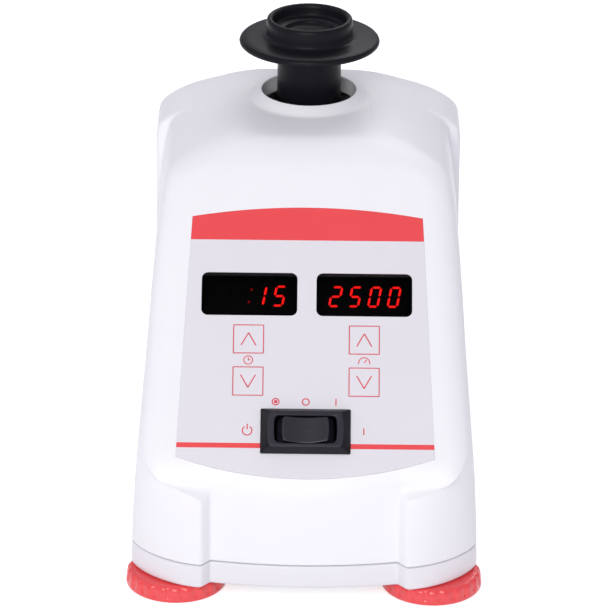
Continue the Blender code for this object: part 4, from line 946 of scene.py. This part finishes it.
# %% Bars of a digit
DIGIT = Vector((2.65, 5.8)) * MM
DIGIT_SLANT = math.tan(math.radians(10.5))
LAMP = 0.62 * MM
LAMP_GAP = 0.2 * MM
# The corners that each bar joins: column 0 or 1, and row 0 to 2 upwards
BARS = {"a": ((0, 2), (1, 2)), "b": ((1, 2), (1, 1)), "c": ((1, 1), (1, 0)), "d": ((0, 0), (1, 0)),
        "e": ((0, 1), (0, 0)), "f": ((0, 2), (0, 1)), "g": ((0, 1), (1, 1))}
LIT_BARS = {"0": "abcdef", "1": "bc", "2": "abged", "5": "afgcd", " ": ""}


def slanted(points, spot):
    """An outline leaned as a digit leans, about a spot."""
    return [(spot[0] + x + y * DIGIT_SLANT, spot[1] + y) for x, y in points]


def lamp_bar(name):
    """The six-sided outline of one bar, about the digit's middle."""
    ends = [Vector(((x - 0.5) * DIGIT.x, (y - 1) * DIGIT.y / 2)) for x, y in BARS[name]]
    along = (ends[1] - ends[0]).normalized()
    side = Vector((-along.y, along.x)) * LAMP / 2
    first, last = ends[0] + along * LAMP_GAP, ends[1] - along * LAMP_GAP
    nose = along * LAMP / 2
    return [tuple(p) for p in (first, first + nose - side, last - nose - side, last, last - nose + side,
                               first + nose + side)]


print("a digit is", round(DIGIT.x / MM, 2), "by", round(DIGIT.y / MM, 2), "mm")

# %% Displays
DIGIT_PITCH = 5.55 * MM
DIGIT_SHIFT = 0.2 * MM
DIGIT_RISE = 0.32 * MM
LAMP_DEPTH = 0.1 * MM
BLOCK_ROUND_MM = 0.25
COLON_HALF = 1.9 * MM
DOT = 0.36 * MM
LIT, UNLIT, DIM = 1, 2, 3
colon_dots = [[(DOT * math.cos(a), y + DOT * math.sin(a)) for a in np.linspace(0, 2 * math.pi, 17)[:-1]]
              for y in (-COLON_HALF, COLON_HALF)]


def display(word, digits, colon=False):
    """A display block with its bars, lit where the digits need them."""
    low, high = panel_box(word + "_display")
    centre = (low + high) / 2
    block = cubes(PANEL, (centre, high - low - Vector((0, 0, LAMP_DEPTH))))
    softened(block, block.edges, BLOCK_ROUND_MM, 2)
    u, v = centre.x + DIGIT_SHIFT, centre.y + DIGIT_RISE
    lamps = []
    for index, digit in enumerate(digits):
        spot = (u + (index - (len(digits) - 1) / 2) * DIGIT_PITCH, v)
        lamps += [(lamp_bar(name), spot, LIT if name in LIT_BARS[digit] else UNLIT) for name in BARS]
    lamps += [(dot, (u, v), DIM) for dot in colon_dots if colon]
    for outline_points, spot, finish in lamps:
        part = prism(slanted(outline_points, spot), high.z - LAMP_DEPTH, high.z, PANEL)
        for face in part.faces:
            face.material_index = finish
        added(block, part)
    piece(block, word + "_readout", [black_epoxy, lit_lamp, unlit_lamp, dim_lamp], "housing",
          [word + "_display"], tidy=False)


display("time", "  15", colon=True)
display("speed", "2500")

# %% Window panes
PANE_ROUND_MM = 0.12
for word, spot in windows.items():
    pane = prism(shifted(rounded(WINDOW_SIZE.x, WINDOW_SIZE.y, WINDOW_ROUND), spot), -WINDOW_SIZE.z, 0, PANEL)
    softened(pane, face_edges(pane, 0, PANEL), PANE_ROUND_MM, 2)
    piece(pane, word + "_pane", [smoked_acrylic], "housing", [word + "_window"])

# %% [markdown]
# ## The rocker switch
# The switch is black nylon, filled with glass. Its flat rim is spark eroded in the mould, which
# scatters light, and its colour is also painted a shade lighter: a painted highlight for the broad
# sheen that the lamp above lays on the flat rim. The slopes round the rim are polished and look darker,
# and the rocker's face lies between the two. Both parts are skins over stacks of outlines. Each outline
# has points along its sides too, so that the sides can be bowed, as they are on a switch that is made
# for a fingertip.

# %% Nylon finishes
black_nylon = grained(material("glass_filled_nylon", Roughness=0.34, IOR=1.53, Specular_IOR_Level=0.22),
                      "#0d0d14", "#13121b", speck_mm=0.22, tone_mm=9, height_mm=0.003)
# The rim's lighter colour is partly its eroded grain and partly a painted highlight, for the lamp's broad
# sheen on the flat rim.
eroded_nylon = grained(material("eroded_nylon", Roughness=0.5, IOR=1.53, Specular_IOR_Level=0.3),
                       "#22212b", "#2b2a35", speck_mm=0.22, tone_mm=5, height_mm=0.008, spread=0.06)
finger_nylon = grained(material("fingertip_nylon", Roughness=0.32, IOR=1.53, Specular_IOR_Level=0.5),
                       "#1a1a22", "#22212b", speck_mm=0.22, tone_mm=5, height_mm=0.004, spread=0.05)

# %% Bowed outlines
ALONG = 8
END_ZONE = 0.8
SIDE_ZONE = 0.6


def bowed(width, height, radius, end_bow=0.0, side_bow=0.0, foot_bow=0.0):
    """A rectangle with round corners whose ends, top and foot swell outwards, all in millimetres."""
    corners = rounded(width, height, radius)
    points = []
    for index, (x, y) in enumerate(corners):
        points.append((x, y))
        if index % (CORNER_STEPS + 1) == CORNER_STEPS:
            after = corners[(index + 1) % len(corners)]
            points += [(x + (after[0] - x) * step / ALONG, y + (after[1] - y) * step / ALONG)
                       for step in range(1, ALONG)]
    swollen = []
    for x, y in points:
        over, up = 2 * x / width, 2 * y / height
        end = end_bow * (1 - up ** 2) * max(0.0, abs(over) - END_ZONE) / (1 - END_ZONE)
        bow = side_bow if y > 0 else foot_bow
        side = bow * (1 - over ** 2) * max(0.0, abs(up) - SIDE_ZONE) / (1 - SIDE_ZONE)
        swollen.append((x + math.copysign(end, x), y + math.copysign(side, y)))
    return swollen


def on_switch(points, level, dish=0.0, reach=6.0):
    """Outline points in millimetres as places at a level over the panel, dished towards the middle."""
    return [PANEL @ Vector((x * MM, y * MM + switch_centre.y,
                            (level - dish * max(0.0, 1 - (x / reach) ** 2)) * MM)) for x, y in points]


print("a bowed outline has", len(bowed(2, 1, 0.1)), "points")

# %% Switch frame
# The mouth's foot swells with the rocker's, so that the rocker clears it at every tilt.
MOUTH_FOOT_BOW = 0.35
# Width, height, corner radius, level and end bow of each outline, in millimetres
MOUTH_RINGS = ((16.6, 7.6, 0.8, -12.2, 0.35), (16.8, 7.8, 0.9, -12.0, 0.35), (16.8, 7.8, 0.9, 2.1, 0.35),
               (16.86, 7.86, 0.95, 2.3, 0.35), (17.0, 8.0, 1.0, 2.44, 0.35), (17.25, 8.25, 1.1, 2.5, 0.35))
RIM_RINGS = ((20.3, 10.4, 1.1, 2.5, 0.5), (20.5, 10.6, 1.1, 2.46, 0.5), (20.7, 10.8, 1.1, 2.36, 0.5),
             (24.9, 12.9, 0.4, 0.72, 0.0), (25.25, 13.25, 0.4, 0.52, 0.0), (25.4, 13.4, 0.4, 0.4, 0.0),
             (25.4, 13.4, 0.4, 0.3, 0.0), (23.5, 11.5, 0.4, 0.3, 0.0), (23.4, 11.4, 0.4, 0.2, 0.0),
             (23.4, 11.4, 0.4, -14.8, 0.0), (23.0, 11.0, 0.3, -15.0, 0.0))
FLAT_RIM = 2.47 * MM
switch_frame = capped(lofted([on_switch(bowed(width, height, radius, bow, foot_bow=foot), level)
                              for rings, foot in ((MOUTH_RINGS, MOUTH_FOOT_BOW), (RIM_RINGS, 0.0))
                              for width, height, radius, level, bow in rings]))
# Faces above the flat rim's level take the lighter finish, whose colour holds a painted highlight.
for face in switch_frame.faces:
    face.material_index = int((TO_PANEL @ face.calc_center_median()).z > FLAT_RIM)
print("the flat rim has", sum(face.material_index for face in switch_frame.faces), "faces")
piece(switch_frame, "switch_bezel", [black_nylon, eroded_nylon], "housing", ["switch_frame"],
      sharp=25)

# %% Rocker
RIDGE = (12.3, 7.0)
CREST = 2.95
DISH = 1.0
# How much of the ridge's outline each ring on the crest takes, and how far the last one sinks
CREST_SHARES = (0.1, 0.3, 0.5, 0.7, 0.86, 0.95, 1.0)
CREST_EDGE = 0.05
# The outline just below the crest: its growth along and across, and its drop
BROW = (1.02, 1.012, 0.25)
# Length, width and level of each outline from there down, in millimetres
ROCKER_RINGS = ((13.4, 7.3, 1.5), (14.8, 7.3, 0.9), (15.9, 7.2, 0.1), (15.9, 7.1, -0.3), (12.0, 7.1, -5.6),
                (11.6, 6.9, -5.9))
ridge = bowed(*RIDGE, 0.5, end_bow=0.45, side_bow=0.1, foot_bow=0.55)
rocker_rings = [on_switch([(x * share, y * share) for x, y in ridge], CREST - CREST_EDGE * (share == 1), DISH)
                for share in CREST_SHARES]
rocker_rings.append(on_switch([(x * BROW[0], y * BROW[1]) for x, y in ridge], CREST - BROW[2], DISH))
for length, width, level in ROCKER_RINGS:
    foot_bow = 0.2 if level > 1 else 0.05
    rocker_rings.append(on_switch(bowed(length, width, 0.5, 0.2, 0.05, foot_bow), level))
rocker = carved(capped(lofted(rocker_rings)), [], levels=1)
piece(rocker, "rocker_key", [finger_nylon], "rocker", ["rocker"], sharp=50, tidy=False)

# %% [markdown]
# ## The rubber cup
# The cup, its flange and its neck are one moulding in black rubber, turned round the axis of the
# drive pin. Rubber against a polished mould comes out satin: dark, with long soft highlights along
# every rim. The section is drawn once and spun, which keeps each rim perfectly round.

# %% Cup
black_rubber = grained(material("moulded_black_rubber", Roughness=0.36, IOR=1.52, Specular_IOR_Level=0.1),
                       "#15141a", "#1b1a20", speck_mm=0.5, tone_mm=7, height_mm=0.002)
cup_axis = middle("cup_head")
cup_axis.z = 0
# Radius and height in millimetres, from the dish's middle over the rim and flange and up inside
CUP_SECTION = ((0, 129.75), (3.6, 129.78), (6.2, 129.95), (6.95, 130.25), (7.2, 130.75), (7.4, 131.15),
               (7.8, 131.35), (10.0, 131.4), (10.45, 131.6), (10.65, 132.1), (10.7, 133.7), (10.85, 134.4),
               (11.2, 134.85), (11.7, 135.0), (12.15, 134.9), (12.5, 134.55), (12.7, 133.9), (12.78, 132.6),
               (12.7, 131.0), (12.75, 130.1), (12.95, 129.6), (13.4, 129.3), (14.2, 129.15), (17.5, 129.0),
               (19.5, 128.85), (20.2, 128.6), (20.55, 128.2), (20.7, 127.8), (20.6, 127.35), (20.25, 127.0),
               (19.4, 126.8), (13.6, 126.65), (11.4, 126.5), (10.3, 126.1), (9.75, 125.3), (9.5, 124.0),
               (9.4, 121.5), (9.4, 102.5), (9.25, 102.15), (9.0, 102.0), (6.0, 102.0), (5.7, 102.1),
               (5.6, 102.4), (5.6, 124.0), (5.2, 124.3), (0, 124.3))
post_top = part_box("head_carrier")[1].z
print("the carrier's post ends", round(post_top / MM, 2), "mm up, inside the cup")
cup = spun(CUP_SECTION, cup_axis, steps=128)
piece(cup, "rubber_cup", [black_rubber], "head", ["cup_head"], sharp=60)

# %% [markdown]
# ## Tray and feet
# The grey tray closes the housing from below and follows the same outline, so that only a fine dark
# seam shows between the two. It is lofted from the housing's own outlines, hollowed, and its floor is
# cut for the screws and for the stems of the feet. Each foot is a suction cup in soft red PVC. Its
# rim has a scalloped grip, so that it can be pulled loose from the bench.

# %% Tray shell
# The tray's mould is eroded as the housing's is, so its grey spreads highlights in the same way.
grey_abs = grained(material("moulded_grey_abs", Roughness=0.38, IOR=1.53), "#e8e7ed", "#ecebf0",
                   speck_mm=0.35, tone_mm=30, height_mm=0.005)
tray_low, tray_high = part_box("base_tray")
TRAY_FLOOR = tray_low.z + WALL
# How far each outer outline is above the tray's foot and inside its full size, in millimetres
TRAY_EDGES = ((0, 0.9), (0.12, 0.45), (0.4, 0.12), (0.9, 0), (3.5, 0), (6.1, 0), (6.75, 0.04), (6.95, 0.2))
# An extra outline near an edge keeps the edge tight when the tray is subdivided
RIM_HOLD = 0.3 * MM
FLOOR_HOLD = 1.5 * MM
tray_rings = [ring_points(tray_low.z + rise * MM, inset * MM) for rise, inset in TRAY_EDGES]
tray_rings += [ring_points(height, WALL) for height in (tray_high.z, tray_high.z - RIM_HOLD,
                                                        TRAY_FLOOR + FLOOR_HOLD, TRAY_FLOOR)]
tray = capped(carved(lofted(tray_rings), [], levels=1))
print("the tray is", round((tray_high.z - tray_low.z) / MM, 2), "mm high")

# %% Tray piece
STEM_HOLE = 4.3 * MM
SCREW_HOLE = 1.8 * MM
HEAD_HOLE = 3.3 * MM
HEAD_SINK = 2.2 * MM
HOLE_TOP = 20 * MM
foot_places = {node: middle(node) for node in named("suction_foot_")}
screw_places = [middle(node) for node in named("housing_screw_")]
sink_top = max(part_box(node)[0].z for node in named("housing_screw_")) + HEAD_SINK
tray = carved(tray, [rods(foot_places.values(), STEM_HOLE, 0, HOLE_TOP),
                     rods(screw_places, SCREW_HOLE, 0, HOLE_TOP), rods(screw_places, HEAD_HOLE, 0, sink_top)])
piece(tray, "grey_tray", [grey_abs], "housing", ["base_tray"], sharp=32, tidy=False)

# %% Feet
# Soft PVC is moulded against polished steel, so it comes out glossy and a little uneven in tone.
soft_pvc = grained(material("soft_red_pvc", Roughness=0.22, IOR=1.53), "#ec474b", "#f15155",
                   speck_mm=0.8, tone_mm=9, height_mm=0.003)
foot_low, foot_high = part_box("suction_foot_front_left")
FOOT_RADIUS = (foot_high.x - foot_low.x) / 2
SCALLOPS = 22
SCALLOP_STEPS = 16
# Height in mm, radius short of the full one in mm, and how deep the scallops are there in mm
FOOT_RIM = ((4.72, 3.4, 0), (4.72, 2.4, 0), (4.7, 1.7, 0.1), (4.55, 1.1, 0.25), (4.2, 0.6, 0.4),
            (3.6, 0.3, 0.5), (2.6, 0.1, 0.5), (1.9, 0.03, 0.45), (1.5, 0, 0.3), (1.2, 0, 0.12), (0.8, 0, 0),
            (0.35, 0.08, 0), (0.1, 0.3, 0), (0, 0.7, 0), (0.05, 1.6, 0), (0.5, 3.2, 0), (1.4, 6.5, 0),
            (1.9, 10, 0))


def foot_ring(centre, height, short, depth):
    """A ring of the foot's rim, pulled in at each groove between two scallops."""
    count = SCALLOPS * SCALLOP_STEPS
    ring = []
    for turn in np.arange(count) / count * 2 * math.pi:
        groove = (0.5 + 0.5 * math.cos(SCALLOPS * turn)) ** 2
        radius = FOOT_RADIUS - (short + depth * groove) * MM
        ring.append(Vector((centre.x + radius * math.cos(turn), centre.y + radius * math.sin(turn),
                            height * MM)))
    return ring


for node, place in foot_places.items():
    foot = capped(lofted([foot_ring(place, *row) for row in FOOT_RIM]))
    piece(foot, node.replace("suction_foot_", "scalloped_foot_"), [soft_pvc], "housing", [node],
          sharp=50, tidy=False)
print("each foot has", SCALLOPS, "scallops")

# %% [markdown]
# ## Mains inlet
# A flanged inlet of black nylon closes the rear wall. Its socket has two cut corners, so that a plug
# fits only one way round. The flange is an outline pulled to its thickness. The body behind it and
# the low collar that frames the socket are added to it, and the socket, the slots of the pins and the
# screw holes are taken out.

# %% Inlet outlines
# The inlet's own frame faces the rear: it gives places across, up, and out of the rear wall.
INLET = (Matrix.Translation((0, inlet_high.y - FLANGE, inlet_middle.z)) @ Matrix.Rotation(math.pi, 4, "Z")
         @ Matrix.Rotation(math.pi / 2, 4, "X"))
BODY_END = inlet_low.y - (inlet_high.y - FLANGE)
SOCKET_FLOOR = -12.6 * MM
# Width, height and the cut of the upper corners, in millimetres
BODY_SIZE = (27.2, 20, 5.2)
COLLAR_SIZE = (27.6, 19.4, 5.2)
SOCKET_SIZE = (24, 16, 4.2)


def keyed(width, height, cut):
    """A rectangle in millimetres with its two upper corners cut off, as an outline in metres."""
    x, y = width / 2, height / 2
    corners = [(-x, -y), (x, -y), (x, y - cut), (x - cut, y), (-x + cut, y), (-x, y - cut)]
    return [(u * MM, v * MM) for u, v in corners]


print("the socket is", round((FLANGE - SOCKET_FLOOR) / MM, 1), "mm deep")

# %% Inlet piece
OVERLAP = 0.6 * MM
COLLAR_FOOT = 1 * MM
COLLAR_TOP = FLANGE + 0.6 * MM
FLANGE_ROUND_MM = 0.5
COLLAR_ROUND_MM = 0.4
FLANGE_CORNER = 3 * MM
INLET_SCREW_HOLE = 1.8 * MM
CUT_ABOVE = 6 * MM
flange = prism(rounded(inlet_size.x, inlet_size.z, FLANGE_CORNER), 0, FLANGE, INLET)
softened(flange, face_edges(flange, FLANGE, INLET), FLANGE_ROUND_MM)
collar = prism(keyed(*COLLAR_SIZE), COLLAR_FOOT, COLLAR_TOP, INLET)
softened(collar, face_edges(collar, COLLAR_TOP, INLET), COLLAR_ROUND_MM)
body = prism(keyed(*BODY_SIZE), BODY_END, OVERLAP, INLET)
socket = prism(keyed(*SOCKET_SIZE), SOCKET_FLOOR, CUT_ABOVE, INLET)
screw_spots = [INLET.inverted() @ middle(node) for node in named("inlet_screw_")]
screw_holes = rods(screw_spots, INLET_SCREW_HOLE, -CUT_ABOVE, CUT_ABOVE, 32, INLET)
pin_boxes = [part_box(node) for node in named("inlet_pin_")]
pin_slots = cubes(WORLD, *[((low + high) / 2, high - low + Vector((2, 2, 2)) * GAP)
                           for low, high in pin_boxes])
inlet = carved(flange, [body, collar, socket, screw_holes, pin_slots], unions=2)
piece(inlet, "mains_socket", [black_nylon], "housing", ["mains_inlet"], sharp=30)

# %% [markdown]
# ## Screws
# Pan-head screws in zinc-plated steel hold the inlet and the tray. A screw is round, so it is a
# profile spun round its axis, and the driver's cross is then cut into its head. The plating is
# bright, with the cloudy bloom that crystals of zinc leave.

# %% Zinc plating
BLOOM = 1.6 * MM
zinc_plate = material("zinc_plated_steel", Metallic=1.0)
tree = zinc_plate.node_tree
at = add(tree, "ShaderNodeTexCoord").outputs["Object"]
bloom = add(tree, "ShaderNodeTexNoise", {"Vector": at, "Scale": 1 / BLOOM, "Detail": 4.0}).outputs["Fac"]
patterned(zinc_plate, bloom, bloom, "#b4b9c2", "#dcdfe2", (0.2, 0.38), NOISE_SPAN)

# %% Screws
HEAD_MM = 1.8
SHANK_MM = 1.5
TIP_MM = 0.9
CROSS = (3.0 * MM, 0.6 * MM, 2.2 * MM)
# Radius, and place along the screw from the seat of its head, in millimetres
HEAD_PROFILE = ((0, -HEAD_MM), (1.4, -HEAD_MM), (2.0, -1.72), (2.5, -1.4), (2.76, -0.9), (2.8, -0.4),
                (2.75, 0), (SHANK_MM, 0))


def pan_head(node, length, stands_in):
    """A pan-head screw along its own upright axis, turned and moved into its seat."""
    length_mm = length / MM - HEAD_MM
    shape = spun((*HEAD_PROFILE, (SHANK_MM, length_mm - TIP_MM), (TIP_MM, length_mm), (0, length_mm)),
                 Vector((0, 0, 0)), steps=48)
    top = Vector((0, 0, -HEAD_MM * MM))
    arms = [cubes(WORLD, (top, size)) for size in (CROSS, (CROSS[1], CROSS[0], CROSS[2]))]
    shape = carved(shape, arms)
    bmesh.ops.transform(shape, matrix=stands_in @ Matrix.Translation(-top), verts=shape.verts)
    piece(shape, node.replace("screw", "pan_head"), [zinc_plate], "housing", [node], sharp=40)


for node in named("inlet_screw_", "housing_screw_"):
    low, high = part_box(node)
    place = middle(node)
    if node.startswith("inlet"):
        pan_head(node, high.y - low.y,
                 Matrix.Translation((place.x, high.y, place.z)) @ Matrix.Rotation(math.pi / 2, 4, "X"))
    else:
        pan_head(node, high.z - low.z, Matrix.Translation((place.x, place.y, low.z)))

# %% [markdown]
# ## Finishes for the drive and the electronics
# The motor, its mounts and the boards sit inside the housing. Their solids already have the right
# shapes, so they keep them and only get finishes. Rolled and stacked steel, cast zinc, turned brass
# and glass-fibre board are told apart by how their surfaces were made: sheet shows its rolling
# lines, a lamination stack its layers, a casting its mottled skin and a board its woven cloth.

# %% Inner finishes


def refinish(finish, *starts):
    """Gives a finish to each of the working model's solids whose name starts as given."""
    for node in named(*starts):
        for slot in frame["nodes"][node].material_slots:
            slot.material = finish
    print(finish.name, "on", len(named(*starts)), "solids")


refinish(black_rubber, "isolator_front_", "isolator_rear_")
refinish(black_nylon, "head_carrier", "thrust_plunger", "tact_switch_", "microswitch")

# %% Lined finishes
# A wave texture at scale 1 repeats every 0.314 m, so its scale is that length over the spacing.
WAVE_LENGTH = 0.314
LINE_POLISH = 0.06
LINE_DEPTH_MM = 0.01


def lined(made, dark, light, spacing_mm, axis, wander=1.5):
    """Gives a material fine parallel lines at a spacing in millimetres, across an axis."""
    tree = made.node_tree
    at = add(tree, "ShaderNodeTexCoord").outputs["Object"]
    wave = add(tree, "ShaderNodeTexWave", {"Vector": at, "Scale": WAVE_LENGTH / (spacing_mm * MM),
                                           "Distortion": wander, "Detail": 2.0, "Detail Scale": 1.5},
               bands_direction=axis)
    plain = tree.nodes["Principled BSDF"].inputs["Roughness"].default_value
    lines = wave.outputs["Fac"]
    polish = (plain + LINE_POLISH, plain - LINE_POLISH)
    return patterned(made, lines, lines, dark, light, polish, height_mm=LINE_DEPTH_MM)


turned_steel = lined(material("turned_bright_steel", Roughness=0.26, Metallic=1.0), "#b8babd", "#cfd1d4",
                     0.4, "Z")
stacked_steel = lined(material("stacked_motor_steel", Roughness=0.42, Metallic=1.0), "#53565c", "#84878d",
                      0.5, "Z", 0.2)
rolled_steel = lined(material("rolled_steel_plate", Roughness=0.34, Metallic=1.0), "#a0a3a8", "#bcbfc4",
                     0.6, "Y")
turned_brass = lined(material("nickelled_brass", Roughness=0.22, Metallic=1.0), "#cdc4a2", "#e2dabb",
                     0.3, "Y")
board_green = lined(material("green_glass_laminate", Roughness=0.3, IOR=1.55), "#1b5034", "#26663f",
                    0.7, "X", 0.5)
refinish(turned_steel, "motor_shaft", "head_bearing", "upper_bearing", "lower_bearing", "isolator_screw_")
refinish(stacked_steel, "rotor", "stator", "transformer")
refinish(rolled_steel, "motor_plate", "motor_lower_bell", "motor_upper_bell")
refinish(turned_brass, "inlet_pin_")
refinish(board_green, "control_board", "power_board")

# %% Cast and moulded finishes
cast_zinc = grained(material("cast_zinc", Roughness=0.46, Metallic=1.0), "#7f8388", "#9da1a6",
                    speck_mm=0.7, tone_mm=6, height_mm=0.03, spread=0.08)
red_acetal = grained(material("red_acetal", Roughness=0.35, IOR=1.48), "#a82227", "#bd2c31",
                     speck_mm=0.3, tone_mm=3, height_mm=0.003)
refinish(cast_zinc, "eccentric_hub", "ballast_plate")
refinish(red_acetal, "microswitch_button")

# %% [markdown]
# ## Return spring
# A coil of spring wire lifts the head again after a press. The wire's round section is carried round
# the axis while it climbs, which is how a spring is wound. The coil shortens when the head is
# pressed.

# %% Spring
spring_low, spring_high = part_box("return_spring")
WIRE_RADIUS = 0.4 * MM
WIRE_SIDES = 14
SPRING_TURNS = 6
STEPS_A_TURN = 36
spring_height = spring_high.z - spring_low.z
coil = bmesh.new()
wire_at = Vector((spring_high.x - WIRE_RADIUS, HEAD_AXIS.y, spring_low.z + WIRE_RADIUS))
bmesh.ops.create_circle(coil, cap_ends=False, segments=WIRE_SIDES, radius=WIRE_RADIUS,
                        matrix=Matrix.Translation(wire_at) @ Matrix.Rotation(math.pi / 2, 4, "X"))
climb = (spring_height - 2 * WIRE_RADIUS) / (SPRING_TURNS * STEPS_A_TURN)
bmesh.ops.spin(coil, geom=coil.verts[:] + coil.edges[:], cent=HEAD_AXIS, axis=(0, 0, 1), dvec=(0, 0, climb),
               angle=2 * math.pi * SPRING_TURNS, steps=SPRING_TURNS * STEPS_A_TURN, use_merge=False)
coil_top = max(vertex.co.z for vertex in coil.verts)
coil = piece(capped(coil), "coil_spring", [turned_steel], "housing", ["return_spring"],
             sharp=60)
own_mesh(coil)
print("the coil's top is at", round(coil_top / MM, 2), "of", round(spring_high.z / MM, 2), "mm")
